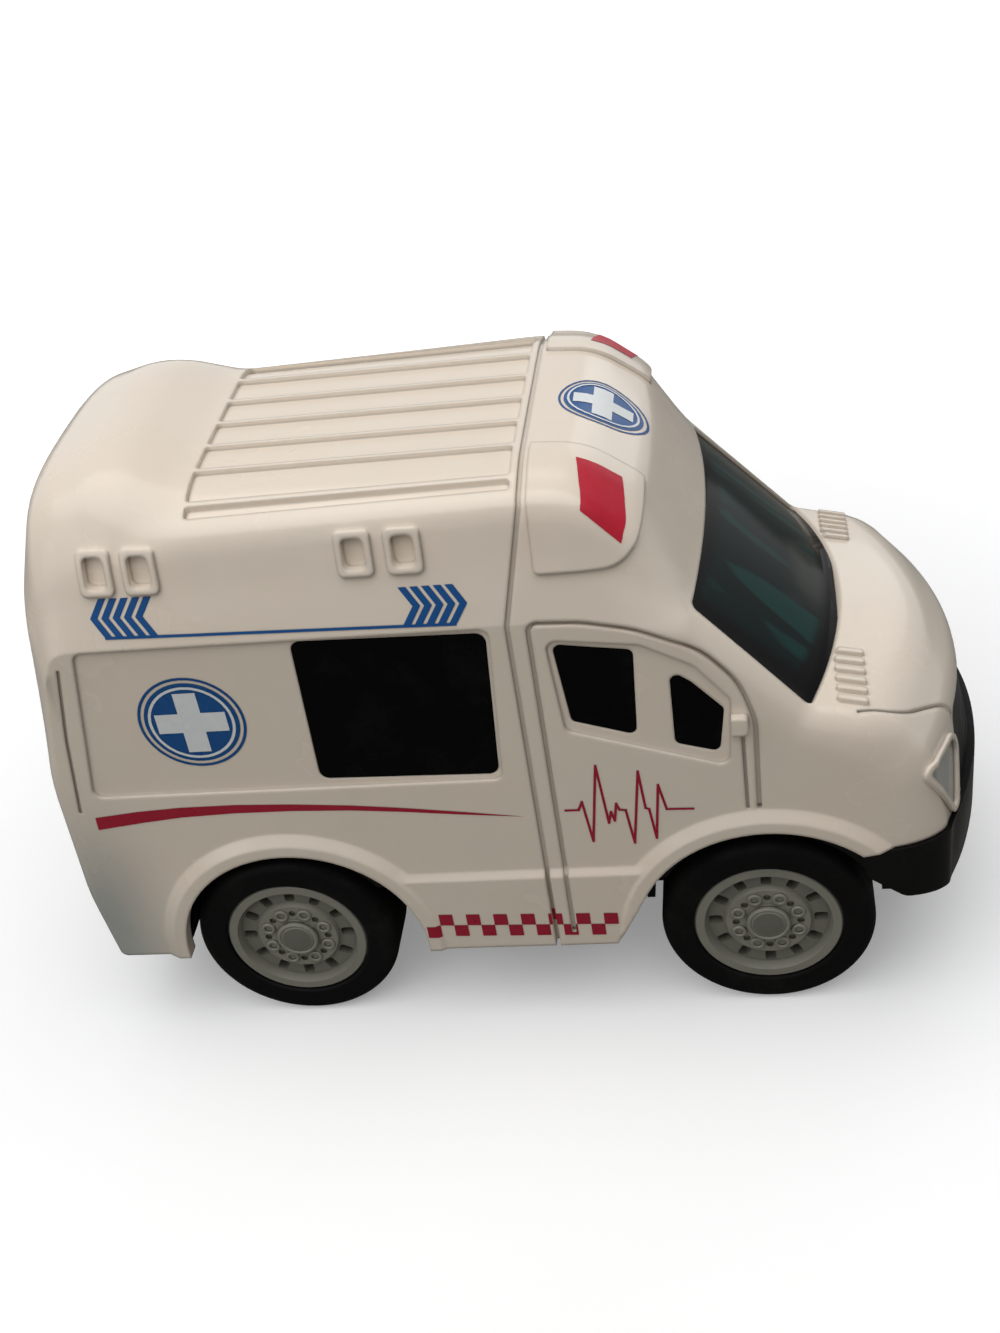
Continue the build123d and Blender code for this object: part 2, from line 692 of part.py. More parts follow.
def front_bumper(forms):
    """Black front moulding: a thick wrap-round bumper, its floor and the grille above."""
    rear_x, rear_z = BUMPER_REAR
    front_x, front_z = BUMPER_TOP_FRONT
    nose_x = NOSE_X + BUMPER_OVERHANG
    nose_z = rear_z + (front_z - rear_z) * (nose_x - rear_x) / (front_x - rear_x)
    with BuildPart() as bumper:
        with BuildSketch(Plane.XZ):
            with BuildLine():
                FilletPolyline(
                    (rear_x + BUMPER_GAP + 0.8, BUMPER_BOTTOM_Z + 3.0), (rear_x + BUMPER_GAP, rear_z - BUMPER_GAP),
                    (nose_x, nose_z - BUMPER_GAP), (nose_x, BUMPER_BOTTOM_Z), (rear_x + 5.0, BUMPER_BOTTOM_Z),
                    radius=[0.3, 0.6, 0.3, 3.0, 2.0], close=True,
                )
            make_face()
        extrude(amount=FAR, both=True)
        add(forms["raised"], mode=Mode.INTERSECT)
        with BuildSketch(Plane.XZ):
            with Locations((NOSE_X - 8, BUMPER_BOTTOM_Z + BUMPER_FLOOR)):
                Rectangle(30, 40, align=(Align.CENTER, Align.MIN))
        inner = extrude(amount=FAR, both=True, mode=Mode.PRIVATE)
        add(within(inner, forms["cavity"]), mode=Mode.SUBTRACT)
        add(outside(within(grille_prism(FIT_GAP), forms["groove"]), forms["liner"]))
        with BuildSketch(Plane.YZ.offset(NOSE_X - 1.4)):
            with Locations((0, GRILLE_HIGH[1] - 5.2)):
                with GridLocations(0, GRILLE_SLOT_PITCH, 1, GRILLE_SLOTS):
                    SlotOverall(18.0, GRILLE_SLOT_HEIGHT)
        extrude(amount=8, mode=Mode.SUBTRACT)
        with Locations((FRONT_POST_X, 0, BUMPER_BOTTOM_Z)):
            Cylinder(POST_RADIUS + 0.3, 8, mode=Mode.SUBTRACT)
    return bumper


# ---------------------------------------------------------------- base

BASE_SIDE_Y = 20.8
BASE_REAR_X = REAR_X + 3.6
BASE_REAR_Y = 19.4
BASE_FRONT_X = NOSE_X - 3.6
BASE_FRONT_Y = 12.0
RISER_X = (45.8, 48.8)
TOWER_INNER_Y = 8.2
TOWER_HALF_LENGTH = 2.6
AXLE_CLEARANCE = 0.5
BAY = (REAR_AXLE_X - 7.6, REAR_AXLE_X + 10.4)
BAY_HALF_WIDTH = CASE_HALF_WIDTH + 0.4
SCREW_RADIUS = 0.9
SCREW_HEAD_RADIUS = 2.1
SCREW_HEAD_HEIGHT = 0.9
LUG_HEIGHT = 1.5
LUG_SCREW_RADIUS = 0.7
LUG_XS = (REAR_AXLE_X - 10.0, REAR_AXLE_X + 15.2)
LUG_Y = 3.4
LUG_PLACES = tuple((x, side * LUG_Y) for x in LUG_XS for side in (LEFT, RIGHT))


def base_plate_sketch():
    """Plan of the flat floor, without the wheel openings."""
    wheel_half = WELL_RADIUS + WELL_WALL
    with BuildSketch() as plan:
        with BuildLine():
            FilletPolyline(
                (BASE_REAR_X, -BASE_REAR_Y), (BASE_REAR_X, BASE_REAR_Y),
                (REAR_AXLE_X - wheel_half, BASE_REAR_Y), (REAR_AXLE_X - wheel_half, WELL_INNER_Y),
                (REAR_AXLE_X + wheel_half, WELL_INNER_Y), (REAR_AXLE_X + wheel_half + 3.0, BASE_SIDE_Y),
                (FRONT_X - wheel_half - 5.0, BASE_SIDE_Y), (FRONT_X - wheel_half, WELL_INNER_Y),
                (FRONT_X + wheel_half, WELL_INNER_Y), (FRONT_X + wheel_half, BASE_FRONT_Y),
                (BASE_FRONT_X, BASE_FRONT_Y), (BASE_FRONT_X, -BASE_FRONT_Y),
                (FRONT_X + wheel_half, -BASE_FRONT_Y), (FRONT_X + wheel_half, -WELL_INNER_Y),
                (FRONT_X - wheel_half, -WELL_INNER_Y), (FRONT_X - wheel_half - 5.0, -BASE_SIDE_Y),
                (REAR_AXLE_X + wheel_half + 3.0, -BASE_SIDE_Y), (REAR_AXLE_X + wheel_half, -WELL_INNER_Y),
                (REAR_AXLE_X - wheel_half, -WELL_INNER_Y), (REAR_AXLE_X - wheel_half, -BASE_REAR_Y),
                radius=[3.0, 3.0] + [0.3] * 8 + [3.0, 3.0] + [0.3] * 8, close=True,
            )
        make_face()
    return plan.sketch


def wheel_well(x):
    """Half-round wells over one pair of wheels, open downwards and outwards."""
    with BuildPart() as well:
        for radius, inner_y, outer_y, mode in (
            (WELL_RADIUS + WELL_WALL, WELL_INNER_Y, WELL_OUTER_Y, Mode.ADD),
            (WELL_RADIUS, WELL_INNER_Y + WELL_WALL, FAR, Mode.SUBTRACT),
        ):
            with BuildSketch(Plane.XZ.offset(inner_y)):
                with Locations((x, AXLE_Z)):
                    Circle(radius)
                with Locations((x, AXLE_Z)):
                    Rectangle(2 * radius, AXLE_Z, align=(Align.CENTER, Align.MAX))
            extrude(amount=outer_y - inner_y, mode=mode)
        with BuildSketch(Plane.XZ.offset(WELL_INNER_Y + WELL_LEG_DEPTH)):
            with Locations((x, WELL_LEG_Z)):
                Rectangle(4 * WELL_RADIUS, FAR, align=(Align.CENTER, Align.MAX))
        extrude(amount=FAR, mode=Mode.SUBTRACT)
        with BuildSketch(Plane.XY.offset(BASE_BOTTOM_Z)):
            Rectangle(2 * FAR, FAR)
        extrude(amount=-FAR, mode=Mode.SUBTRACT)
        mirror(about=Plane.XZ)
    return well.part


def chassis_base():
    """Moulded floor with the wheel wells, the front bearings and the motor bay."""
    with BuildPart() as base:
        with BuildSketch(Plane.XY.offset(BASE_BOTTOM_Z)):
            add(base_plate_sketch())
        extrude(amount=BASE_THICKNESS)
        add([wheel_well(FRONT_X), wheel_well(REAR_AXLE_X)])
        with BuildSketch(Plane.XY.offset(BASE_BOTTOM_Z)):
            with Locations((FRONT_X, TOWER_INNER_Y), (FRONT_X, -WELL_INNER_Y)):
                Rectangle(2 * TOWER_HALF_LENGTH, WELL_INNER_Y - TOWER_INNER_Y, align=(Align.CENTER, Align.MIN))
        extrude(amount=AXLE_Z + TOWER_HALF_LENGTH + 1 - BASE_BOTTOM_Z)
        with BuildSketch(Plane.XY.offset(BASE_TOP_Z)):
            for side in (LEFT, RIGHT):
                with Locations((RISER_X[0], side * (BASE_FRONT_Y - 3.0))):
                    Rectangle(RISER_X[1] - RISER_X[0], 4.0, align=(Align.MIN, Align.CENTER))
        extrude(amount=BUMPER_BOTTOM_Z - BASE_TOP_Z)
        with BuildSketch(Plane.XY.offset(BASE_BOTTOM_Z)):
            with Locations((BAY[0], 0)):
                Rectangle(BAY[1] - BAY[0], 2 * BAY_HALF_WIDTH, align=(Align.MIN, Align.CENTER))
            with Locations(*LUG_PLACES, *SCREW_POSTS):
                Circle(LUG_SCREW_RADIUS)
            with Locations(*SCREW_POSTS):
                Circle(SCREW_RADIUS)
        extrude(amount=BASE_THICKNESS, mode=Mode.SUBTRACT)
        with Locations(*((x, y, BASE_BOTTOM_Z) for x, y in SCREW_POSTS)):
            Cylinder(SCREW_HEAD_RADIUS + 0.2, SCREW_HEAD_HEIGHT, align=(Align.CENTER, Align.CENTER, Align.MIN),
                     mode=Mode.SUBTRACT)
        for x, bore in ((FRONT_X, AXLE_RADIUS + RUNNING_FIT), (REAR_AXLE_X, AXLE_RADIUS + AXLE_CLEARANCE)):
            with BuildSketch(Plane.XZ):
                with Locations((x, AXLE_Z)):
                    Circle(bore)
            extrude(amount=WELL_OUTER_Y, both=True, mode=Mode.SUBTRACT)
    return base


def body_screws():
    """Pan-head screws up through the base into the body's posts."""
    with BuildPart() as screws:
        with Locations(*((x, y, BASE_BOTTOM_Z) for x, y in SCREW_POSTS)):
            Cylinder(SCREW_HEAD_RADIUS, SCREW_HEAD_HEIGHT, align=(Align.CENTER, Align.CENTER, Align.MIN))
            Cylinder(SCREW_RADIUS, BASE_THICKNESS + 6.5, align=(Align.CENTER, Align.CENTER, Align.MIN))
        with BuildSketch(Plane.XY.offset(BASE_BOTTOM_Z)):
            with Locations(*SCREW_POSTS):
                Rectangle(2.4, 0.5)
                Rectangle(0.5, 2.4)
        extrude(amount=0.5, mode=Mode.SUBTRACT)
    return screws


# ---------------------------------------------------------------- wheels and axles

HUB_INNER_Y = TYRE_FACE_Y - TYRE_WIDTH + 0.4
HUB_FACE_Y = TYRE_FACE_Y - 0.3
HUB_BOSS_RADIUS = 2.6
SPOKE_SLOTS = 12
LUG_DIMPLES = 8


def wheel_profile(points, x, side):
    """Ring turned about one axle's line from a profile of radius and width."""
    with BuildPart() as ring:
        with BuildSketch(Plane.XY.offset(AXLE_Z)):
            with BuildLine():
                Polyline(*((x + radius, side * y) for radius, y in points), close=True)
            make_face()
        revolve(axis=Axis((x, 0, AXLE_Z), (0, 1, 0)))
    return ring


def hub(x, side):
    """Moulded rim: flat lip, sunk ring with slots, raised disc, dimples and cap."""
    lip = RIM_RADIUS - 1.3
    disc = 0.56 * RIM_RADIUS
    cap = 0.27 * RIM_RADIUS
    face = HUB_FACE_Y
    profile = [
        (RIM_RADIUS, HUB_INNER_Y), (RIM_RADIUS, face - 0.3), (RIM_RADIUS - 0.3, face), (lip, face),
        (lip - 0.4, face - 1.1), (disc + 0.3, face - 1.1), (disc, face - 0.5), (cap + 0.3, face - 0.5),
        (cap, face - 0.1), (cap - 0.5, face + 0.2), (0, face + 0.3), (0, HUB_INNER_Y),
        (HUB_BOSS_RADIUS, HUB_INNER_Y), (HUB_BOSS_RADIUS, face - 2.8), (lip, face - 2.8), (lip, HUB_INNER_Y),
    ]
    turned = wheel_profile(profile, x, side).part
    with BuildPart() as rim:
        add(turned)
        with BuildSketch(Plane.XZ):
            with Locations((x, AXLE_Z)):
                with PolarLocations((lip - 0.4 + disc + 0.3) / 2, SPOKE_SLOTS):
                    RectangleRounded(1.7, 1.3, 0.4)
        extrude(amount=-side * FAR, mode=Mode.SUBTRACT)
        with BuildSketch(Plane.XZ.offset(-side * (face - 0.9))):
            with Locations((x, AXLE_Z)):
                with PolarLocations(0.43 * RIM_RADIUS, LUG_DIMPLES):
                    Circle(0.45)
        extrude(amount=-side * 2, mode=Mode.SUBTRACT)
        with BuildSketch(Plane.XZ):
            with Locations((x, AXLE_Z)):
                Circle(AXLE_RADIUS)
        extrude(amount=-side * AXLE_HALF_LENGTH, mode=Mode.SUBTRACT)
    return rim


def tyre(x, side):
    """Smooth tyre with rounded shoulders and a slight sidewall step."""
    inner_y = TYRE_FACE_Y - TYRE_WIDTH
    with BuildPart() as ring:
        with BuildSketch(Plane.XY.offset(AXLE_Z)):
            with Locations((x + (RIM_RADIUS + TYRE_RADIUS) / 2, side * (inner_y + TYRE_FACE_Y) / 2)):
                Rectangle(TYRE_RADIUS - RIM_RADIUS, TYRE_WIDTH)
            fillet(vertices().group_by(Axis.X)[-1], TYRE_SHOULDER)
            fillet(vertices().group_by(Axis.X)[0], 0.4)
        revolve(axis=Axis((x, 0, AXLE_Z), (0, 1, 0)))
    return ring


def axle(x):
    """Steel pin with chamfered ends."""
    with BuildPart() as pin:
        with BuildSketch(Plane.XZ):
            with Locations((x, AXLE_Z)):
                Circle(AXLE_RADIUS)
        extrude(amount=AXLE_HALF_LENGTH, both=True)
        chamfer(pin.edges(), 0.2)
    return pin


# ---------------------------------------------------------------- pull-back motor

CENTRE_DISTANCE = GEAR_MODULE * (PINION_TEETH + WHEEL_TEETH) / 2
IDLER_ANGLE = 60.0
DRUM_ANGLE = 150.0
PRESSURE_ANGLE = radians(22.0)
IDLER_PLACE = (
    REAR_AXLE_X + CENTRE_DISTANCE * cos(radians(IDLER_ANGLE)),
    AXLE_Z + CENTRE_DISTANCE * sin(radians(IDLER_ANGLE)),
)
DRUM_PLACE = (
    IDLER_PLACE[0] + CENTRE_DISTANCE * cos(radians(DRUM_ANGLE)),
    IDLER_PLACE[1] + CENTRE_DISTANCE * sin(radians(DRUM_ANGLE)),
)
PIVOTS = ((REAR_AXLE_X, AXLE_Z), IDLER_PLACE, DRUM_PLACE)
WHEEL_TIP_RADIUS = GEAR_MODULE * (WHEEL_TEETH / 2 + 0.9)
CASE_RADII = (5.5, WHEEL_TIP_RADIUS + 0.4 + CASE_WALL, WHEEL_TIP_RADIUS + 0.4 + CASE_WALL)
DRIVE_PINION_Y = (-6.5, -3.7)
IDLER_WHEEL_Y = (-6.1, -4.1)
IDLER_PINION_Y = (-4.1, -0.8)
DRUM_WHEEL_Y = (-3.2, -1.2)
SPRING_Y = (0.5, 6.5)
ARBOR_RADIUS = 1.6
SPRING_TURNS = 7
SPRING_STRIP = 0.35
SPRING_OUTER_RADIUS = 8.2
BARREL_RADIUS = 8.8
BARREL_WALL = 0.9
BARREL_GAP = 0.2
STUB_REACH = CASE_HALF_WIDTH - 0.1
CASE_LUG_END = 4.0


def tooth_share(radius, teeth):
    """Half the angle that one tooth takes at a radius, in radians."""
    pitch_radius = GEAR_MODULE * teeth / 2
    base_radius = pitch_radius * cos(PRESSURE_ANGLE)
    slope = acos(min(1.0, base_radius / radius))
    half_tooth = (pi * GEAR_MODULE - BACKLASH) / (4 * pitch_radius)
    return half_tooth + (tan(PRESSURE_ANGLE) - PRESSURE_ANGLE) - (tan(slope) - slope)


def gear_sketch(place, teeth, tooth_at):
    """Spur gear seen from the side, with one tooth pointing along an angle in degrees."""
    pitch_radius = GEAR_MODULE * teeth / 2
    flank = [pitch_radius + GEAR_MODULE * step for step in (-0.45, 0.0, 0.5, 0.9)]
    root = pitch_radius - 1.2 * GEAR_MODULE
    half = [(root, tooth_share(flank[0], teeth) + 0.02)]
    half += [(radius, tooth_share(radius, teeth)) for radius in flank]
    corners = []
    for tooth in range(teeth):
        middle = radians(tooth_at) + 2 * pi * tooth / teeth
        corners += [(radius, middle - share) for radius, share in half]
        corners += [(radius, middle + share) for radius, share in reversed(half)]
    with BuildSketch(Plane.XZ) as outline:
        with BuildLine():
            Polyline(*((place[0] + r * cos(a), place[1] + r * sin(a)) for r, a in corners), close=True)
        make_face()
    return outline.sketch


def turned_gear(place, teeth, tooth_at, span):
    """Spur gear between two places across the van."""
    with BuildPart() as gear:
        add(gear_sketch(place, teeth, tooth_at))
        extrude(amount=span[1] - span[0], dir=(0, 1, 0))
    return gear.part.moved(Location((0, span[0], 0)))


def drive_pinion():
    """Small gear fixed on the rear axle."""
    with BuildPart() as pinion:
        add(turned_gear(PIVOTS[0], PINION_TEETH, IDLER_ANGLE, DRIVE_PINION_Y))
        with BuildSketch(Plane.XZ):
            with Locations(PIVOTS[0]):
                Circle(AXLE_RADIUS)
        extrude(amount=FAR, both=True, mode=Mode.SUBTRACT)
    return pinion


def idler_gear():
    """Large wheel and small pinion in one piece, with stub shafts."""
    with BuildPart() as idler:
        add(turned_gear(IDLER_PLACE, WHEEL_TEETH, IDLER_ANGLE + 180 + 180 / WHEEL_TEETH, IDLER_WHEEL_Y))
        add(turned_gear(IDLER_PLACE, PINION_TEETH, DRUM_ANGLE, IDLER_PINION_Y))
        with BuildSketch(Plane.XZ):
            with Locations(IDLER_PLACE):
                Circle(AXLE_RADIUS)
        extrude(amount=STUB_REACH, both=True)
    return idler


def spring_drum():
    """Large wheel with the arbor that the spring is wound on, and stub shafts."""
    with BuildPart() as drum:
        add(turned_gear(DRUM_PLACE, WHEEL_TEETH, DRUM_ANGLE + 180 + 180 / WHEEL_TEETH, DRUM_WHEEL_Y))
        with BuildSketch(Plane.XZ.offset(-DRUM_WHEEL_Y[1] + 0.2)):
            with Locations(DRUM_PLACE):
                Circle(ARBOR_RADIUS)
        extrude(amount=-(SPRING_Y[1] - DRUM_WHEEL_Y[1] + 0.4))
        with BuildSketch(Plane.XZ):
            with Locations(DRUM_PLACE):
                Circle(AXLE_RADIUS)
        extrude(amount=STUB_REACH, both=True)
    return drum


def mainspring():
    """Flat steel strip wound in a spiral round the arbor."""
    steps_per_turn = 20
    count = SPRING_TURNS * steps_per_turn
    growth = (SPRING_OUTER_RADIUS - SPRING_STRIP - ARBOR_RADIUS) / count
    inner, outer = [], []
    for step in range(count + 1):
        angle = 2 * pi * step / steps_per_turn
        radius = ARBOR_RADIUS + growth * step
        for side, extra in ((inner, 0.0), (outer, SPRING_STRIP)):
            side.append((DRUM_PLACE[0] + (radius + extra) * cos(angle), DRUM_PLACE[1] + (radius + extra) * sin(angle)))
    with BuildPart() as spring:
        with BuildSketch(Plane.XZ.offset(-SPRING_Y[1])):
            with BuildLine():
                Polyline(*inner, *reversed(outer), close=True)
            make_face()
        extrude(amount=SPRING_Y[1] - SPRING_Y[0])
        with BuildSketch(Plane.XZ):
            with Locations(DRUM_PLACE):
                Circle(ARBOR_RADIUS)
        extrude(amount=FAR, both=True, mode=Mode.SUBTRACT)
    return spring


def case_block(side, inset=0.0):
    """Half of the motor case's outer form, or with an inset the space inside that half."""
    with BuildPart() as block:
        with BuildSketch(Plane.XZ):
            for place, radius in zip(PIVOTS, CASE_RADII):
                with Locations(place):
                    Circle(radius - inset)
            make_hull()
        extrude(amount=CASE_HALF_WIDTH - inset, dir=(0, side, 0))
    return block.part


def case_lugs(side):
    """Flat lugs that stand on the base at both ends of one case half."""
    with BuildPart() as lugs:
        with BuildSketch(Plane.XY.offset(BASE_TOP_Z)):
            for x, y in LUG_PLACES:
                if y * side > 0:
                    with Locations(((x + REAR_AXLE_X) / 2, y)):
                        Rectangle(abs(x - REAR_AXLE_X) + 4 * LUG_SCREW_RADIUS, 3.6)
        extrude(amount=LUG_HEIGHT)
    return outside(lugs.part, case_block(side, CASE_WALL))


def motor_case(side):
    """Half of the gear case; the left half also holds the spring's round barrel."""
    with BuildPart() as case:
        add(case_block(side))
        add(case_block(side, CASE_WALL), mode=Mode.SUBTRACT)
        if side == LEFT:
            with BuildSketch(Plane.XZ.offset(-BARREL_GAP)):
                with Locations(DRUM_PLACE):
                    Circle(BARREL_RADIUS + BARREL_WALL)
                    Circle(BARREL_RADIUS, mode=Mode.SUBTRACT)
            extrude(amount=CASE_HALF_WIDTH - BARREL_GAP - CASE_WALL / 2, dir=(0, 1, 0))
        add(case_lugs(side))
        with BuildSketch(Plane.XZ):
            with Locations(*PIVOTS):
                Circle(AXLE_RADIUS + RUNNING_FIT)
        extrude(amount=FAR, both=True, mode=Mode.SUBTRACT)
        with BuildSketch(Plane.XY.offset(BASE_BOTTOM_Z)):
            with Locations(*LUG_PLACES):
                Circle(LUG_SCREW_RADIUS)
        extrude(amount=10, mode=Mode.SUBTRACT)
    return case


def motor_screws():
    """Four small screws that hold the case's lugs on the base."""
    lug_top = BASE_TOP_Z + LUG_HEIGHT
    with BuildPart() as screws:
        with Locations(*((x, y, lug_top) for x, y in LUG_PLACES)):
            Cylinder(1.3, 0.8, align=(Align.CENTER, Align.CENTER, Align.MIN))
            Cylinder(LUG_SCREW_RADIUS, LUG_HEIGHT + 1.4, align=(Align.CENTER, Align.CENTER, Align.MAX))
    return screws


# ---------------------------------------------------------------- the whole toy

def save(built, name):
    """Label a finished piece and write its file."""
    built.part.label = name
    export_step(built.part, f"parts/{name}.step")


def main():
    """Build and save every piece."""
    os.makedirs("parts", exist_ok=True)
    forms = {
        "skin": body_form(0.0, 3.0),
        "raised": body_form(-SKIN_RISE),
        "lip": body_form(-LIP_RISE),
        "groove": body_form(GROOVE_DEPTH),
        "slot": body_form(SLOT_DEPTH),
        "cavity": body_form(WALL, 8.0),
        "liner": body_form(WALL + GLASS_THICKNESS, 8.0),
    }
    save(windscreen(forms), "windscreen")
    save(side_glazing(forms), "side_glazing")
    save(headlamp(forms, LEFT), "headlamp_left")
    save(headlamp(forms, RIGHT), "headlamp_right")
    save(front_bumper(forms), "front_bumper")
    save(chassis_base(), "chassis_base")
    save(body_screws(), "body_screws")
    for end, x in (("front", FRONT_X), ("rear", REAR_AXLE_X)):
        save(axle(x), f"{end}_axle")
        for side, word in ((LEFT, "left"), (RIGHT, "right")):
            save(hub(x, side), f"hub_{end}_{word}")
            save(tyre(x, side), f"tyre_{end}_{word}")
    save(motor_case(LEFT), "motor_case_left")
    save(motor_case(RIGHT), "motor_case_right")
    save(motor_screws(), "motor_screws")
    save(drive_pinion(), "drive_pinion")
    save(idler_gear(), "idler_gear")
    save(spring_drum(), "spring_drum")
    save(mainspring(), "mainspring")
    save(body_shell(forms), "body_shell")


if __name__ == "__main__":
    main()
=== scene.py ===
"""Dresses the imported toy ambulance: enamel, smoked windows, prints, tyres and studio."""

from math import cos, pi, radians, sin, tan

import bmesh
import bpy
import numpy as np
from mathutils import Matrix, Vector
from mathutils.bvhtree import BVHTree


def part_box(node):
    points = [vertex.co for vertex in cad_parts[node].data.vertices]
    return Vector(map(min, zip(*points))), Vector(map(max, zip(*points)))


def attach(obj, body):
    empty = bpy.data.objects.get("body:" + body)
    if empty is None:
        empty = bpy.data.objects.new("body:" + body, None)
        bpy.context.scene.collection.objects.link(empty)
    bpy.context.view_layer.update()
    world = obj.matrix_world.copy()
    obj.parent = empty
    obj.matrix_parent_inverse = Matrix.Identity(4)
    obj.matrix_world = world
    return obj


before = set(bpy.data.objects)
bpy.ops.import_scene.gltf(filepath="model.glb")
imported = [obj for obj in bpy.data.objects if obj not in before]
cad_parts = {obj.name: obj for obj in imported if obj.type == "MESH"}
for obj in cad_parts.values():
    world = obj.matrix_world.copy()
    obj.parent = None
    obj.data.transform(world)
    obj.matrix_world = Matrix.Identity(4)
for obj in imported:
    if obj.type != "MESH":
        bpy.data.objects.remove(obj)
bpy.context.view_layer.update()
MM = 0.001

bl_info = {
    "name": "Toy ambulance",
    "version": (1, 0, 0),
    "blender": (4, 5, 0),
    "location": "3D View > Sidebar > Toy",
    "description": "Finishes, prints and studio for a die-cast toy ambulance",
    "category": "Object",
}

# Middles of the axles, in metres, and the two flanks
WHEEL_PLACES = {
    end: (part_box(f"{end}_axle")[0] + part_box(f"{end}_axle")[1]) / 2
    for end in ("front", "rear")
}
SIDES = (("right", -1), ("left", 1))

# Mesh points closer than this become one, and edges flatter than this shade smoothly
SKIN_WELD = 0.002 * MM
SMOOTH_BELOW = radians(26)

# Rings on the hubs, in millimetres. The disc lies the sink inside the hub's outer face, and
# profiles hold radius and height above it.
BOSS_COUNT = 8
BOSS_CIRCLE = 3.87
BOSS_SINK = 0.8
BOSS_PROFILE = [(0.46, -0.05), (0.46, 0.16), (0.56, 0.26), (0.80, 0.26), (0.92, 0.14), (0.94, -0.05)]
CAP_PROFILE = [(2.08, -0.05), (2.12, 0.62), (2.25, 0.72), (2.48, 0.72), (2.62, 0.60), (2.70, -0.05)]

# Shut line of the front door and the floor laid under it, in millimetres: corners in length
# and height, their radii, the floor's sizes and how far beside it rays look for the skin
DOOR_LINE = [
    (6.1, 14.5), (6.1, 59.2), (12.0, 58.9), (17.5, 57.6), (24.0, 54.6), (28.0, 49.8), (29.5, 45.0),
    (29.3, 32.4),
]
DOOR_LINE_RADII = [0.0, 1.0, 14.0, 14.0, 10.0, 10.0, 10.0, 0.0]
BED_DEPTH = 0.45
BED_THICKNESS = 0.45
BED_HALF_WIDTH = 0.75
BED_PROBES = (-0.9, -0.6, 0.6, 0.9)
BED_STEP = 0.35
CORNER_STEPS = 6

# Prints on the flanks, in length and height in millimetres
PULSE = [
    (7.2, 33.1), (8.7, 33.1), (9.2, 34.3), (9.9, 28.3), (11.3, 39.5), (12.0, 31.0), (12.4, 32.6),
    (12.7, 31.3), (13.1, 33.8), (13.4, 32.9), (14.1, 32.8), (14.7, 27.8), (16.0, 38.4), (16.4, 33.0),
    (16.8, 32.8), (17.3, 28.4), (18.1, 36.3), (18.8, 32.7), (21.8, 32.6),
]
PULSE_WIDTH = 0.30
SWOOSH = [
    (-49.5, 35.1), (-44.0, 35.75), (-38.6, 36.1), (-32.0, 36.15), (-25.0, 35.85), (-18.0, 35.3),
    (-12.0, 34.6), (-5.0, 33.6), (2.4, 32.45), (-5.0, 33.2), (-12.0, 34.0), (-18.0, 34.55),
    (-25.0, 34.85), (-32.0, 34.9), (-38.8, 34.6), (-44.0, 34.0), (-49.6, 33.2),
]
UNDERLINE = [(-40.9, 60.55), (-24.4, 60.25), (-1.6, 59.8)]
UNDERLINE_WIDTH = 0.32
ARROW_DEPTH = 1.35
ARROW_WIDTH = 0.86
ARROW_COUNT = 5
REAR_ARROWS = {"tip_x": -42.4, "low_z": 60.6, "high_z": 64.9, "pitch": 1.32, "towards": -1}
FRONT_ARROWS = {"tip_x": 0.0, "low_z": 59.9, "high_z": 64.2, "pitch": 1.28, "towards": 1}
CHECK_X = -11.9
CHECK_Z = 14.3
CHECK_SIZE = (1.68, 1.8)
CHECK_COUNT = 14
CHECK_FALL = 0.03
SIDE_ROUNDEL = {
    "centre": (-34.1, 48.3), "disc": 5.6, "rim": (6.0, 6.35), "plus": (4.2, 1.35), "band": (4.75, 5.1),
}

# Prints on the cab roof, in millimetres: a centre in length and width, and four corners in space
ROOF_ROUNDEL = {
    "centre": (14.6, -0.6), "disc": 4.3, "rim": (4.65, 4.9), "plus": (3.2, 1.05), "band": (3.65, 3.9),
}
BEACON = [(12.5, 14.3, 74.0), (17.1, 14.3, 71.2), (16.9, 21.2, 67.2), (13.0, 20.7, 71.2)]
BEACON_CELLS = (16, 24)

# Lifts of the underline and of ink over ink, as multiples of the print lift
UNDERLINE_LIFT = 1.6
OVERPRINT_LIFT = 2
PALE_INK = (0.74, 0.76, 0.76)

# Distances from the middle, in metres: where rays start, and the least that a flank lies at
RAY_START = 0.15
FLANK_RAY_START = 0.08
FLANK_LEAST_Y = 0.015

# Ink films: how squarely a skin face has to look the ink's way, the least area of a piece
# in square metres, and in metres the gap from which other skin covers a place, the extra
# lift of every second outline and the distance within which points become one
LEAST_FACING = 0.15
LEAST_AREA = 1e-13
COVER_GAP = 0.02 * MM
OVERLAP_LIFT = 0.012 * MM
FILM_WELD = 0.0015 * MM

# View that roof outlines are drawn in: axis across, axis up, axis seen along, side seen from
FROM_ABOVE = (0, 1, 2, 1)

# Lights: name, place and size in metres, share of the key light's power
LIGHTS = (
    ("Key", (-0.05, -0.12, 0.50), 0.80, 1.0),
    ("Side fill", (-0.42, -0.42, 0.22), 0.30, 0.07),
    ("Back fill", (0.25, 0.50, 0.35), 0.40, 0.12),
)
LIGHT_TARGET = (0.0, 0.0, 0.04)

# Sky and floor. SKY_LIGHT and FLOOR_BOUNCE light the toy, while the camera sees a white sky
# and a pale floor with smudges. Its glow rises over the reach, in metres from the middle.
WHITE = (1.0, 1.0, 1.0, 1.0)
SKY_LIGHT = (0.80, 0.82, 0.84, 1.0)
SKY_STRENGTH = 0.17
FLOOR_BOUNCE = (0.22, 0.215, 0.20, 1.0)
FLOOR_SMUDGE = (0.82, 0.82, 0.81, 1.0)
FLOOR_RADIUS = 1.6
# The glow is weaker near the middle, so the floor round the toy shows darker: painted shade
FLOOR_GLOW = (0.24, 0.95)
FLOOR_GLOW_REACH = (0.07, 0.30)

# Height of the picture in the camera, in millimetres
SENSOR_HEIGHT = 36.0


# ---------------------------------------------------------------- settings


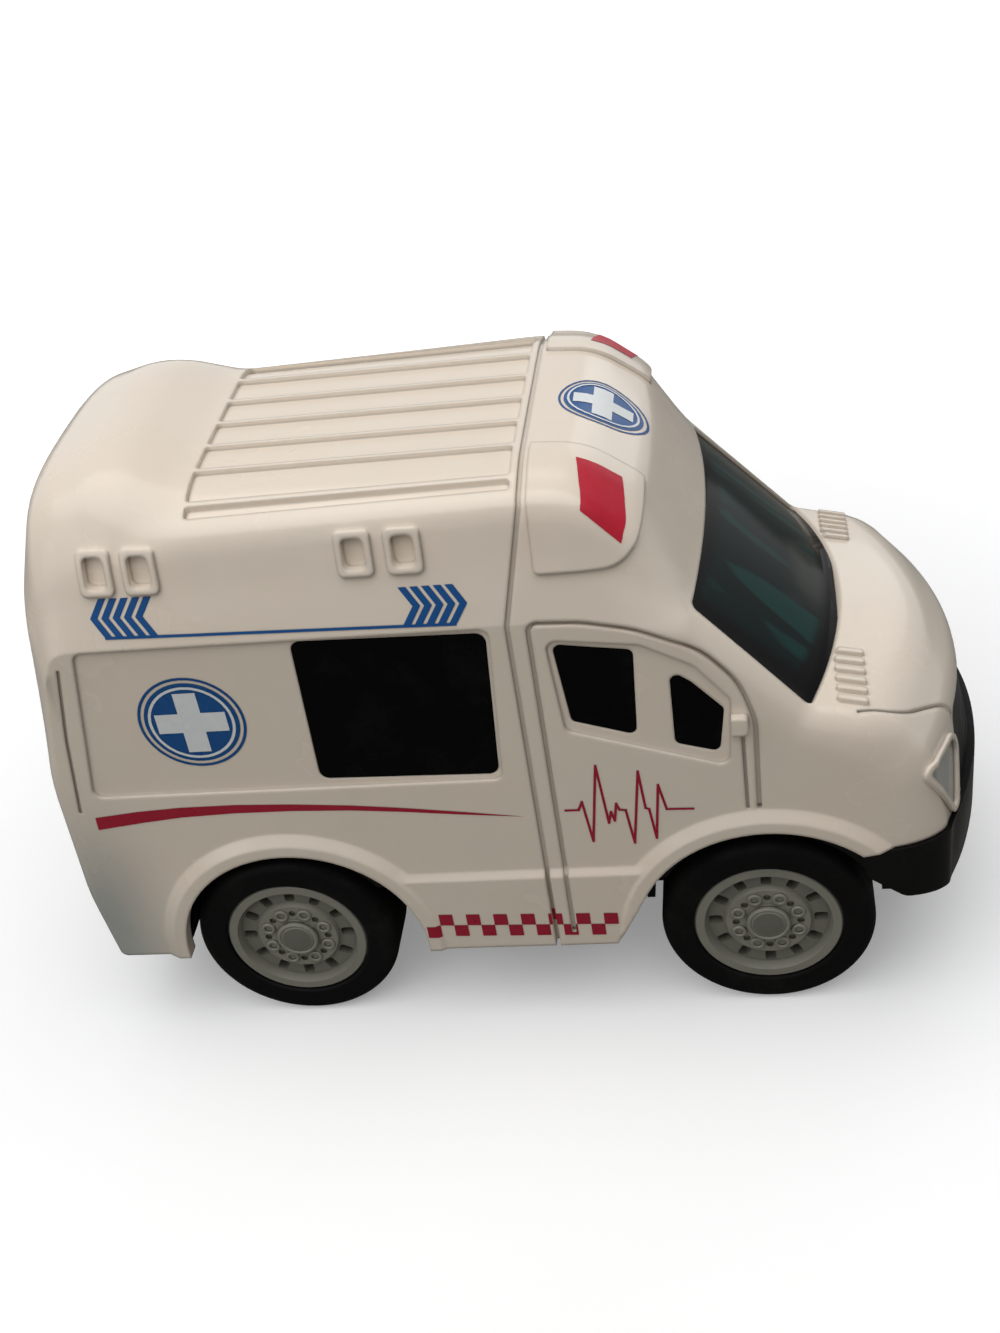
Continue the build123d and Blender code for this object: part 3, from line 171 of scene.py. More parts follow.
class ToyPaintSettings(bpy.types.PropertyGroup):
    """Colours of the painted body and its prints."""

    enamel: bpy.props.FloatVectorProperty(
        name="Enamel", description="Main colour of the body", subtype="COLOR", size=3,
        default=(0.77, 0.675, 0.565),
    )
    # Dark paint in the shut lines together with painted shade, laid by the crevice mask in every groove and
    # inner corner
    wash_and_shade: bpy.props.FloatVectorProperty(
        name="Seam wash", description="Dark paint left in the shut lines", subtype="COLOR", size=3,
        default=(0.16, 0.15, 0.13),
    )
    wash_and_shade_amount: bpy.props.FloatProperty(
        name="Wash amount", description="How strongly the shut lines darken", default=0.6, min=0.0, max=1.0,
        subtype="FACTOR",
    )
    blue: bpy.props.FloatVectorProperty(
        name="Blue print", description="Ink of the arrows and roundels", subtype="COLOR", size=3,
        default=(0.006, 0.075, 0.25),
    )
    red: bpy.props.FloatVectorProperty(
        name="Red print", description="Ink of the swoosh, checks and pulse line", subtype="COLOR", size=3,
        default=(0.35, 0.010, 0.030),
    )
    beacon: bpy.props.FloatVectorProperty(
        name="Beacon red", description="Ink of the roof patches", subtype="COLOR", size=3,
        default=(0.47, 0.010, 0.030),
    )
    lift: bpy.props.FloatProperty(
        name="Print lift", description="How far the ink stands off the enamel", default=0.06 * MM,
        subtype="DISTANCE", unit="LENGTH",
    )


class ToyPartsSettings(bpy.types.PropertyGroup):
    """Colours of windows, wheels and the black mouldings."""

    window: bpy.props.FloatVectorProperty(
        name="Side window", description="Smoked plastic of the side windows", subtype="COLOR", size=3,
        default=(0.0012, 0.0012, 0.0014),
    )
    screen: bpy.props.FloatVectorProperty(
        name="Windscreen", description="Middle tint of the windscreen", subtype="COLOR", size=3,
        default=(0.003, 0.010, 0.009),
    )
    hub: bpy.props.FloatVectorProperty(
        name="Hub", description="Moulded wheel centres", subtype="COLOR", size=3,
        default=(0.235, 0.228, 0.185),
    )
    tyre: bpy.props.FloatVectorProperty(
        name="Tyre", description="Rubber of the tyres", subtype="COLOR", size=3,
        default=(0.0020, 0.0020, 0.0020),
    )
    moulding: bpy.props.FloatVectorProperty(
        name="Moulding", description="Black plastic of base and bumper", subtype="COLOR", size=3,
        default=(0.0025, 0.0022, 0.0021),
    )
    lens: bpy.props.FloatVectorProperty(
        name="Lamp lens", description="Pale lens of the headlamps", subtype="COLOR", size=3,
        default=(0.34, 0.345, 0.32),
    )


class ToyStudioSettings(bpy.types.PropertyGroup):
    """Camera, light and floor."""

    camera_place: bpy.props.FloatVectorProperty(
        name="Camera place", description="Where the camera stands", size=3, subtype="TRANSLATION",
        unit="LENGTH", default=(32.1 * MM, -171.5 * MM, 159.1 * MM),
    )
    azimuth: bpy.props.FloatProperty(
        name="Azimuth", description="Direction of the view round the van", subtype="ANGLE",
        default=radians(11.31),
    )
    elevation: bpy.props.FloatProperty(
        name="Elevation", description="How far the camera looks down", subtype="ANGLE",
        default=radians(34.83),
    )
    roll: bpy.props.FloatProperty(
        name="Roll", description="Turn of the picture", subtype="ANGLE", default=radians(-9.79)
    )
    lens: bpy.props.FloatProperty(
        name="Lens", description="Focal length on a 36 mm tall picture", default=45.73, unit="CAMERA"
    )
    key_power: bpy.props.FloatProperty(
        name="Key light", description="Power of the large soft light", default=2.9, min=0.0, unit="POWER"
    )
    floor: bpy.props.FloatVectorProperty(
        name="Floor", description="Colour of the floor", subtype="COLOR", size=3, default=(0.86, 0.86, 0.86)
    )


# ---------------------------------------------------------------- node helpers


def new_group(name, inputs, outputs):
    """Empty shader node group with the named sockets, given as (name, kind, default)."""
    tree = bpy.data.node_groups.new(name, "ShaderNodeTree")
    for label, kind, default in inputs:
        socket = tree.interface.new_socket(label, in_out="INPUT", socket_type=kind)
        socket.default_value = default
    for label, kind in outputs:
        tree.interface.new_socket(label, in_out="OUTPUT", socket_type=kind)
    return tree, tree.nodes.new("NodeGroupInput"), tree.nodes.new("NodeGroupOutput")


def put(tree, kind, settings=None, **inputs):
    """One node with its settings and inputs; a socket among the inputs is linked."""
    node = tree.nodes.new(kind)
    for name, value in (settings or {}).items():
        setattr(node, name, value)
    for name, value in inputs.items():
        place = int(name[1:]) if name[0] == "_" and name[1:].isdigit() else name.replace("_", " ")
        socket = node.inputs[place]
        if isinstance(value, bpy.types.NodeSocket):
            tree.links.new(value, socket)
        else:
            socket.default_value = value
    return node


def maths(tree, operation, first, second=0.0, third=0.0):
    """Result of one Math node."""
    return put(tree, "ShaderNodeMath", {"operation": operation}, _0=first, _1=second, _2=third).outputs[0]


def spread(tree, value, low, high, to_low=0.0, to_high=1.0):
    """Value carried from one range to another, smoothly and without passing its ends."""
    node = put(tree, "ShaderNodeMapRange", {"interpolation_type": "SMOOTHSTEP"})
    tree.links.new(value, node.inputs[0])
    for number, level in enumerate((low, high, to_low, to_high), 1):
        node.inputs[number].default_value = level
    return node.outputs[0]


def mixed(tree, share, first, second):
    """Colour between two, each a socket or a colour."""
    node = put(tree, "ShaderNodeMix", {"data_type": "RGBA"})
    for place, value in ((0, share), (6, first), (7, second)):
        if isinstance(value, bpy.types.NodeSocket):
            tree.links.new(value, node.inputs[place])
        else:
            node.inputs[place].default_value = value
    return node.outputs[2]


def rgba(colour):
    """Colour with full opacity."""
    return (*colour, 1.0)


# ---------------------------------------------------------------- shared effects


def moulded_grain():
    """Fine uneven surface of paint or plastic: height, and a roughness that varies."""
    tree, given, out = new_group(
        "Moulded grain",
        [
            ("Scale", "NodeSocketFloat", 900.0),
            ("Low", "NodeSocketFloat", 0.25),
            ("High", "NodeSocketFloat", 0.45),
        ],
        [("Height", "NodeSocketFloat"), ("Roughness", "NodeSocketFloat")],
    )
    place = tree.nodes.new("ShaderNodeTexCoord").outputs["Object"]
    fine = put(tree, "ShaderNodeTexNoise", Vector=place, Scale=given.outputs["Scale"], Detail=3.0)
    broad_scale = maths(tree, "MULTIPLY", given.outputs["Scale"], 0.06)
    broad = put(tree, "ShaderNodeTexNoise", Vector=place, Scale=broad_scale, Detail=4.0, Roughness=0.6)
    height = maths(tree, "MULTIPLY_ADD", broad.outputs["Fac"], 0.6, fine.outputs["Fac"])
    share = spread(tree, broad.outputs["Fac"], 0.35, 0.7)
    span = maths(tree, "SUBTRACT", given.outputs["High"], given.outputs["Low"])
    rough = maths(tree, "MULTIPLY_ADD", share, span, given.outputs["Low"])
    tree.links.new(height, out.inputs["Height"])
    tree.links.new(rough, out.inputs["Roughness"])
    return tree


def handling():
    """Faint smudges and settled dust: a mask that varies over the surface."""
    tree, given, out = new_group(
        "Handling",
        [("Scale", "NodeSocketFloat", 60.0), ("Amount", "NodeSocketFloat", 0.3)],
        [("Mask", "NodeSocketFloat")],
    )
    place = tree.nodes.new("ShaderNodeTexCoord").outputs["Object"]
    cloud = put(
        tree, "ShaderNodeTexNoise", Vector=place, Scale=given.outputs["Scale"], Detail=6.0, Roughness=0.7
    )
    cell_scale = maths(tree, "MULTIPLY", given.outputs["Scale"], 14.0)
    specks = put(tree, "ShaderNodeTexVoronoi", Vector=place, Scale=cell_scale)
    dots = spread(tree, specks.outputs["Distance"], 0.02, 0.14, 1.0, 0.0)
    cloudy = spread(tree, cloud.outputs["Fac"], 0.48, 0.72)
    both = maths(tree, "MULTIPLY_ADD", dots, 0.25, cloudy)
    tree.links.new(maths(tree, "MULTIPLY", both, given.outputs["Amount"]), out.inputs["Mask"])
    return tree


def crevices():
    """Mask of narrow grooves and inner corners from ambient occlusion: painted shade there, standing also
    for the dark paint and dust that gather in them.
    """
    tree, given, out = new_group(
        "Crevices",
        [("Reach", "NodeSocketFloat", 0.9 * MM), ("Strength", "NodeSocketFloat", 1.0)],
        [("Mask", "NodeSocketFloat")],
    )
    hidden = put(tree, "ShaderNodeAmbientOcclusion", {"samples": 8}, Distance=given.outputs["Reach"])
    open_share = spread(tree, hidden.outputs["AO"], 0.25, 0.85)
    closed = maths(tree, "SUBTRACT", 1.0, open_share)
    tree.links.new(maths(tree, "MULTIPLY", closed, given.outputs["Strength"]), out.inputs["Mask"])
    return tree


def group_node(tree, name, **inputs):
    """One of the shared effects, placed in a material."""
    node = tree.nodes.new("ShaderNodeGroup")
    node.node_tree = bpy.data.node_groups[name]
    for label, value in inputs.items():
        node.inputs[label].default_value = value
    return node


def finish_material(name, colour_of, grain, bump, coat=0.0, metal=0.0, specular=0.5, rounding=0.0):
    """Principled material whose colour, roughness and bump vary over the surface.

    colour_of is called with the node tree and gives the Base Color socket. grain holds the
    grain's scale and the lowest and highest roughness. A rounding softens the shading of
    edges by that radius.
    """
    material = bpy.data.materials.new(name)
    material.use_nodes = True
    tree = material.node_tree
    shader = tree.nodes["Principled BSDF"]
    tree.links.new(colour_of(tree), shader.inputs["Base Color"])
    surface = group_node(tree, "Moulded grain", Scale=grain[0], Low=grain[1], High=grain[2])
    tree.links.new(surface.outputs["Roughness"], shader.inputs["Roughness"])
    relief = put(tree, "ShaderNodeBump", Strength=bump, Distance=0.02 * MM, Height=surface.outputs["Height"])
    if rounding:
        soft = put(tree, "ShaderNodeBevel", {"samples": 6}, Radius=rounding)
        tree.links.new(soft.outputs["Normal"], relief.inputs["Normal"])
    tree.links.new(relief.outputs["Normal"], shader.inputs["Normal"])
    shader.inputs["Coat Weight"].default_value = coat
    shader.inputs["Coat Roughness"].default_value = 0.08
    shader.inputs["Metallic"].default_value = metal
    shader.inputs["Specular IOR Level"].default_value = specular
    return material


def soiled_and_shaded(colour, dirt_and_shade, scale, amount, crevice=0.0, reach=0.9 * MM):
    """Maker of a colour that is a little smudged, and darker in its crevices as painted shade."""

    def make(tree):
        smudge = group_node(tree, "Handling", Scale=scale, Amount=amount)
        base = mixed(tree, smudge.outputs["Mask"], rgba(colour), rgba(dirt_and_shade))
        if not crevice:
            return base
        # Painted shade in the crevices, in the darker colour
        corner = group_node(tree, "Crevices", Reach=reach, Strength=crevice)
        return mixed(tree, corner.outputs["Mask"], base, rgba(dirt_and_shade))

    return make


# ---------------------------------------------------------------- materials of the moulded nodes


def enamel_colour(paint):
    """Cream enamel with random yellowing and faint smudges, painted shade and a painted bluish reflection
    low on the rear corners, and dark paint with painted shade in the seams.
    """
    yellowed = (0.77, 0.655, 0.535, 1.0)
    # Painted shade with a painted bluish reflection, for the low rear corners
    rear_shade_and_reflection = (0.27, 0.31, 0.30, 1.0)
    smudged = (0.52, 0.49, 0.43, 1.0)
    tail_fade = (-41.0 * MM, -53.0 * MM)
    low_fade = (44.0 * MM, 15.0 * MM)

    def make(tree):
        place = tree.nodes.new("ShaderNodeTexCoord").outputs["Object"]
        axes = put(tree, "ShaderNodeSeparateXYZ", Vector=place)
        cloud = put(tree, "ShaderNodeTexNoise", Vector=place, Scale=45.0, Detail=5.0, Roughness=0.6)
        age = spread(tree, cloud.outputs["Fac"], 0.4, 0.7, 0.0, 0.5)
        warm = mixed(tree, age, rgba(paint.enamel), yellowed)
        tail = spread(tree, axes.outputs["X"], *tail_fade)
        low = spread(tree, axes.outputs["Z"], *low_fade)
        patchy = maths(tree, "MULTIPLY_ADD", cloud.outputs["Fac"], 0.8, 0.45)
        # Painted shade and reflection, strongest low on the rear corners and patchy
        corner = maths(tree, "MULTIPLY", maths(tree, "MULTIPLY", tail, low), patchy)
        cool = mixed(tree, corner, warm, rear_shade_and_reflection)
        smudge = group_node(tree, "Handling", Scale=70.0, Amount=0.08)
        worn = mixed(tree, smudge.outputs["Mask"], cool, smudged)
        # Dark paint in the seams, with painted shade in every groove and inner corner
        seam = group_node(tree, "Crevices", Reach=0.6 * MM, Strength=paint.wash_and_shade_amount)
        return mixed(tree, seam.outputs["Mask"], worn, rgba(paint.wash_and_shade))

    return make


def screen_colour(parts):
    """Smoked screen: black border, teal middle with painted reflections in soft upright streaks and grey
    patches.
    """
    # Painted reflection colours, then the black border
    reflected_teal = (0.006, 0.038, 0.033, 1.0)
    reflected_grey = (0.034, 0.038, 0.032, 1.0)
    black = (0.003, 0.003, 0.004, 1.0)
    side_fade = (16.6 * MM, 18.6 * MM)
    low_fade = (47.6 * MM, 46.4 * MM)
    high_fade = (57.2 * MM, 58.4 * MM)

    def make(tree):
        place = tree.nodes.new("ShaderNodeTexCoord").outputs["Object"]
        axes = put(tree, "ShaderNodeSeparateXYZ", Vector=place)
        across = maths(tree, "ABSOLUTE", axes.outputs["Y"])
        side_edge = spread(tree, across, *side_fade)
        low_edge = spread(tree, axes.outputs["Z"], *low_fade)
        high_edge = spread(tree, axes.outputs["Z"], *high_fade)
        border = maths(tree, "MAXIMUM", side_edge, maths(tree, "MAXIMUM", low_edge, high_edge))
        stretch = put(tree, "ShaderNodeMapping", Vector=place)
        stretch.inputs["Scale"].default_value = (0.22, 1.0, 0.22)
        # Painted reflections: upright teal streaks, and grey patches between them
        reflection_streaks = put(
            tree, "ShaderNodeTexNoise", Vector=stretch.outputs[0], Scale=150.0, Detail=2.0, Distortion=1.6
        )
        cloud = put(tree, "ShaderNodeTexNoise", Vector=place, Scale=55.0, Detail=2.0)
        bands = spread(tree, reflection_streaks.outputs["Fac"], 0.45, 0.62)
        teal = mixed(tree, bands, rgba(parts.screen), reflected_teal)
        between = spread(tree, reflection_streaks.outputs["Fac"], 0.58, 0.48)
        grey_reflection = maths(tree, "MULTIPLY", spread(tree, cloud.outputs["Fac"], 0.50, 0.62), between)
        return mixed(tree, border, mixed(tree, grey_reflection, teal, reflected_grey), black)

    return make


def hub_colour(parts):
    """Pale moulded plastic with faint dust, and darker on the cap, in the sunk ring and in the slots:
    painted shade.
    """
    dusty = (0.10, 0.10, 0.085, 1.0)
    shaded = (0.045, 0.045, 0.038, 1.0)
    dirt_and_shade = (0.016, 0.016, 0.014, 1.0)
    cap_edge = (1.75 * MM, 2.1 * MM)
    well_inside = (5.0 * MM, 5.5 * MM)
    well_outside = (7.8 * MM, 7.2 * MM)

    def make(tree):
        place = tree.nodes.new("ShaderNodeTexCoord").outputs["Object"]
        axes = put(tree, "ShaderNodeSeparateXYZ", Vector=place)
        length = maths(tree, "ABSOLUTE", axes.outputs["X"])
        along = maths(tree, "SUBTRACT", length, WHEEL_PLACES["front"].x)
        above = maths(tree, "SUBTRACT", axes.outputs["Z"], WHEEL_PLACES["front"].z)
        flat = put(tree, "ShaderNodeCombineXYZ", X=along, Z=above)
        radius = put(
            tree, "ShaderNodeVectorMath", {"operation": "LENGTH"}, _0=flat.outputs[0]
        ).outputs["Value"]
        # Painted shade on the cap and in the sunk ring
        cap = spread(tree, radius, *cap_edge, 0.55, 0.0)
        inner = spread(tree, radius, *well_inside)
        well = maths(tree, "MULTIPLY", inner, spread(tree, radius, *well_outside))
        shade = maths(tree, "MAXIMUM", cap, maths(tree, "MULTIPLY", well, 0.35))
        smudge = group_node(tree, "Handling", Scale=120.0, Amount=0.22)
        base = mixed(tree, smudge.outputs["Mask"], rgba(parts.hub), dusty)
        darker = mixed(tree, shade, base, shaded)
        # Painted shade in the slots and inner corners
        corner = group_node(tree, "Crevices", Reach=1.1 * MM, Strength=0.8)
        return mixed(tree, corner.outputs["Mask"], darker, dirt_and_shade)

    return make


def smooth_shading():
    """Node tree for a modifier: welds a tessellated solid and rounds its shading."""
    tree = bpy.data.node_groups.new("Smooth tessellation", "GeometryNodeTree")
    tree.interface.new_socket("Geometry", in_out="INPUT", socket_type="NodeSocketGeometry")
    tree.interface.new_socket("Geometry", in_out="OUTPUT", socket_type="NodeSocketGeometry")
    given = tree.nodes.new("NodeGroupInput")
    out = tree.nodes.new("NodeGroupOutput")
    plain = put(tree, "GeometryNodeRemoveAttribute", Geometry=given.outputs[0], Name="custom_normal")
    welded = put(tree, "GeometryNodeMergeByDistance", Geometry=plain.outputs[0], Distance=SKIN_WELD)
    rounded = put(tree, "GeometryNodeSetShadeSmooth", {"domain": "FACE"}, Geometry=welded.outputs[0])
    angle = tree.nodes.new("GeometryNodeInputMeshEdgeAngle").outputs["Unsigned Angle"]
    gentle = put(tree, "FunctionNodeCompare", {"operation": "LESS_THAN"}, A=angle, B=SMOOTH_BELOW)
    edges = put(
        tree, "GeometryNodeSetShadeSmooth", {"domain": "EDGE"},
        Geometry=rounded.outputs[0], Shade_Smooth=gentle.outputs[0],
    )
    tree.links.new(edges.outputs[0], out.inputs[0])
    return tree


def dress(names, material):
    """Give CAD nodes a material and smooth shading."""
    for name in names:
        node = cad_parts[name]
        node.data.materials.clear()
        node.data.materials.append(material)
        modifier = node.modifiers.new("Smooth shading", "NODES")
        modifier.node_group = bpy.data.node_groups["Smooth tessellation"]


def as_object(name, moulding, material):
    """Object in the scene from a mesh under construction, which is freed."""
    mesh = bpy.data.meshes.new(name)
    moulding.to_mesh(mesh)
    moulding.free()
    mesh.materials.append(material)
    piece = bpy.data.objects.new(name, mesh)
    bpy.context.scene.collection.objects.link(piece)
    return piece


def turned_ring(moulding, centre, face_y, side, profile, count=28):
    """Ring turned about a line along Y, added to a mesh. The profile is in millimetres."""
    rows = []
    for step in range(count):
        angle = 2 * pi * step / count
        row = []
        for radius, height in profile:
            x = centre[0] + radius * MM * cos(angle)
            z = centre[1] + radius * MM * sin(angle)
            row.append(moulding.verts.new((x, face_y + side * height * MM, z)))
        rows.append(row)
    for number, row in enumerate(rows):
        following = rows[(number + 1) % count]
        for k in range(len(profile) - 1):
            moulding.faces.new((row[k], row[k + 1], following[k + 1], following[k])).smooth = True
        moulding.faces.new((row[-1], row[0], following[0], following[-1]))


class TOY_OT_effects(bpy.types.Operator):
    """Make the shader effects that the finishes share"""

    bl_idname = "toy.effects"
    bl_label = "Shared effects"

    def execute(self, context):
        moulded_grain()
        handling()
        crevices()
        smooth_shading()
        return {"FINISHED"}


class TOY_OT_enamel(bpy.types.Operator):
    """Paint the die-cast body"""

    bl_idname = "toy.enamel"
    bl_label = "Body enamel"

    def execute(self, context):
        paint = context.scene.toy_paint
        enamel = finish_material(
            "Gloss enamel", enamel_colour(paint), grain=(700.0, 0.16, 0.30), bump=0.12, coat=0.25,
            specular=0.4, rounding=0.6 * MM,
        )
        dress(["body_shell"], enamel)
        return {"FINISHED"}


class TOY_OT_windows(bpy.types.Operator):
    """Finish the windows and the headlamp lenses"""

    bl_idname = "toy.windows"
    bl_label = "Windows and lamps"

    def execute(self, context):
        parts = context.scene.toy_parts
        smoked = finish_material(
            "Smoked plastic", soiled_and_shaded(parts.window, dirt_and_shade=(0.02, 0.02, 0.02), scale=160.0, amount=0.15),
            grain=(500.0, 0.08, 0.22), bump=0.05, specular=0.06,
        )
        screen = finish_material(
            "Windscreen plastic", screen_colour(parts), grain=(300.0, 0.08, 0.2), bump=0.05, specular=0.05
        )
        # The lens colour carries painted shade in its crevices
        lens = finish_material(
            "Lamp plastic",
            soiled_and_shaded(parts.lens, dirt_and_shade=(0.2, 0.2, 0.2), scale=300.0, amount=0.3, crevice=0.7, reach=0.8 * MM),
            grain=(420.0, 0.08, 0.2), bump=0.5, coat=0.8,
        )
        dress(["side_glazing"], smoked)
        dress(["windscreen"], screen)
        dress(["headlamp_left", "headlamp_right"], lens)
        return {"FINISHED"}


class TOY_OT_running_gear(bpy.types.Operator):
    """Finish the wheels, the base and the bumper"""

    bl_idname = "toy.running_gear"
    bl_label = "Wheels, base and bumper"

    def execute(self, context):
        parts = context.scene.toy_parts
        ends = [f"{end}_{side}" for end in ("front", "rear") for side, _ in SIDES]
        rubber = finish_material(
            "Tyre rubber", soiled_and_shaded(parts.tyre, dirt_and_shade=(0.022, 0.020, 0.018), scale=90.0, amount=0.3),
            grain=(1400.0, 0.55, 0.8), bump=0.5, specular=0.08,
        )
        rim = finish_material("Hub plastic", hub_colour(parts), grain=(900.0, 0.3, 0.5), bump=0.25)
        black = finish_material(
            "Black moulding", soiled_and_shaded(parts.moulding, dirt_and_shade=(0.03, 0.03, 0.03), scale=110.0, amount=0.2),
            grain=(1100.0, 0.35, 0.55), bump=0.35, specular=0.12,
        )
        dress([f"tyre_{end}" for end in ends], rubber)
        dress([f"hub_{end}" for end in ends], rim)
        dress(["chassis_base", "front_bumper"], black)
        return {"FINISHED"}


class TOY_OT_hub_bosses(bpy.types.Operator):
    """Ring each hub's cap with small moulded bosses"""

    bl_idname = "toy.hub_bosses"
    bl_label = "Hub bosses"

    def execute(self, context):
        material = bpy.data.materials["Hub plastic"]
        circle = BOSS_CIRCLE * MM
        for end, middle in WHEEL_PLACES.items():
            for word, side in SIDES:
                low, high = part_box(f"hub_{end}_{word}")
                outer_face = low.y if side < 0 else high.y
                face_y = outer_face - side * BOSS_SINK * MM
                moulding = bmesh.new()
                for number in range(BOSS_COUNT):
                    angle = 2 * pi * (number + 0.5) / BOSS_COUNT
                    centre = (middle.x + circle * cos(angle), middle.z + circle * sin(angle))
                    turned_ring(moulding, centre, face_y, side, BOSS_PROFILE)
                turned_ring(moulding, (middle.x, middle.z), face_y, side, CAP_PROFILE)
                bmesh.ops.recalc_face_normals(moulding, faces=moulding.faces[:])
                piece = as_object(f"hub_bosses_{end}_{word}", moulding, material)
                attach(piece, f"{end}_wheels")
        return {"FINISHED"}


class TOY_OT_motor(bpy.types.Operator):
    """Finish the axles, screws and the pull-back motor"""

    bl_idname = "toy.motor"
    bl_label = "Axles, screws and motor"

    def execute(self, context):
        steel = finish_material(
            "Bright steel", soiled_and_shaded((0.55, 0.55, 0.54), dirt_and_shade=(0.2, 0.19, 0.17), scale=300.0, amount=0.4),
            grain=(1200.0, 0.2, 0.42), bump=0.2, metal=1.0,
        )
        spring = finish_material(
            "Spring strip", soiled_and_shaded((0.20, 0.22, 0.27), dirt_and_shade=(0.08, 0.08, 0.09), scale=260.0, amount=0.5),
            grain=(800.0, 0.25, 0.4), bump=0.2, metal=1.0,
        )
        # The nylon colour carries painted shade in its crevices
        nylon = finish_material(
            "Gear nylon",
            soiled_and_shaded((0.78, 0.77, 0.68), dirt_and_shade=(0.3, 0.28, 0.22), scale=240.0, amount=0.3, crevice=0.6),
            grain=(1000.0, 0.35, 0.5), bump=0.2,
        )
        # The case colour carries painted shade in its crevices
        case = finish_material(
            "Motor case",
            soiled_and_shaded((0.05, 0.05, 0.055), dirt_and_shade=(0.12, 0.12, 0.11), scale=150.0, amount=0.3, crevice=0.5),
            grain=(900.0, 0.4, 0.55), bump=0.4,
        )
        dress(["front_axle", "rear_axle", "body_screws", "motor_screws"], steel)
        dress(["mainspring"], spring)
        dress(["drive_pinion", "idler_gear", "spring_drum"], nylon)
        dress(["motor_case_left", "motor_case_right"], case)
        return {"FINISHED"}


# ---------------------------------------------------------------- ink on the skin


SKIN = {}  # filled by skin()


def skin():
    """Points and faces of the body, in metres, and a search tree over them, made once."""
    if not SKIN:
        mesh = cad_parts["body_shell"].data
        corners = np.empty(len(mesh.vertices) * 3)
        mesh.vertices.foreach_get("co", corners)
        SKIN["points"] = corners.reshape(-1, 3)
        SKIN["faces"] = np.array([tuple(face.vertices) for face in mesh.polygons])
        places = [Vector(point) for point in SKIN["points"]]
        SKIN["tree"] = BVHTree.FromPolygons(places, SKIN["faces"].tolist())
    return SKIN["points"], SKIN["faces"], SKIN["tree"]


def area(outline):
    """Signed area of a flat outline."""
    return sum(a[0] * b[1] - b[0] * a[1] for a, b in zip(outline, outline[1:] + outline[:1])) / 2


def clipped(outline, cutter):
    """Part of a flat outline inside a convex cutter, both anticlockwise."""
    for start, end in zip(cutter, cutter[1:] + cutter[:1]):
        kept = []
        run = (end[0] - start[0], end[1] - start[1])
        offsets = [run[0] * (p[1] - start[1]) - run[1] * (p[0] - start[0]) for p in outline]
        for number, here in enumerate(outline):
            back, off_back, off_here = outline[number - 1], offsets[number - 1], offsets[number]
            if (off_back < 0) != (off_here < 0):
                share = off_back / (off_back - off_here)
                kept.append((back[0] + (here[0] - back[0]) * share, back[1] + (here[1] - back[1]) * share))
            if off_here >= 0:
                kept.append(here)
        if len(kept) < 3:
            return []
        outline = kept
    return outline


def in_triangles(outline):
    """Flat outline cut into anticlockwise triangles."""
    flat = bmesh.new()
    flat.faces.new([flat.verts.new((u, v, 0.0)) for u, v in outline])
    flat.normal_update()
    bmesh.ops.triangulate(flat, faces=flat.faces[:])
    pieces = [[(vert.co.x, vert.co.y) for vert in face.verts] for face in flat.faces]
    flat.free()
    return [piece if area(piece) > 0 else piece[::-1] for piece in pieces]


def onto_plane(triangle, normal, looking):
    """Function that carries a flat place onto the plane of a triangle."""
    across, up, depth, _ = looking
    origin = triangle[0]

    def carry(u, v):
        fall = normal[across] * (u - origin[across]) + normal[up] * (v - origin[up])
        place = Vector((0.0, 0.0, 0.0))
        place[across] = u
        place[up] = v
        place[depth] = origin[depth] - fall / normal[depth]
        return place

    return carry


def in_sight(tree, place, depth, sign):
    """Whether nothing covers a place, seen along one axis from the given side."""
    start = place.copy()
    start[depth] = sign * RAY_START
    sight = Vector((0, 0, 0))
    sight[depth] = -sign
    hit = tree.ray_cast(start, sight)[0]
    return hit is not None and abs(hit[depth] - place[depth]) <= COVER_GAP


def laid_on(name, outlines, looking, material, lift):
    """Thin ink film in the shape of flat outlines, in millimetres, that follows the skin exactly.

    looking holds the two axes that the outlines are drawn in, the axis that the film is
    seen along and the sign of the side that it lies on. Every second outline lies a
    little higher, so that outlines may overlap.
    """
    across, up, depth, sign = looking
    points, faces, tree = skin()
    corners = points[faces]
    normals = np.cross(corners[:, 1] - corners[:, 0], corners[:, 2] - corners[:, 0])
    facing = normals[:, depth] * sign > LEAST_FACING * np.linalg.norm(normals, axis=1)
    low = corners.min(axis=1)
    high = corners.max(axis=1)
    film = bmesh.new()
    for number, outline in enumerate(outlines):
        shift = Vector((0, 0, 0))
        shift[depth] = sign * (lift + OVERLAP_LIFT * (number % 2))
        for piece in in_triangles([(u * MM, v * MM) for u, v in outline]):
            us, vs = zip(*piece)
            near = facing & (low[:, across] < max(us)) & (high[:, across] > min(us))
            near &= (low[:, up] < max(vs)) & (high[:, up] > min(vs))
            for index in np.nonzero(near)[0]:
                flat = [(corner[across], corner[up]) for corner in corners[index]]
                shape = clipped(piece, flat if area(flat) > 0 else flat[::-1])
                if len(shape) < 3 or abs(area(shape)) < LEAST_AREA:
                    continue
                carry = onto_plane(corners[index], normals[index], looking)
                middle_u = sum(u for u, _ in shape) / len(shape)
                middle_v = sum(v for _, v in shape) / len(shape)
                if in_sight(tree, carry(middle_u, middle_v), depth, sign):
                    film.faces.new([film.verts.new(carry(u, v) + shift) for u, v in shape])
    bmesh.ops.remove_doubles(film, verts=film.verts[:], dist=FILM_WELD)
    return settled(name, film, material, depth, sign)


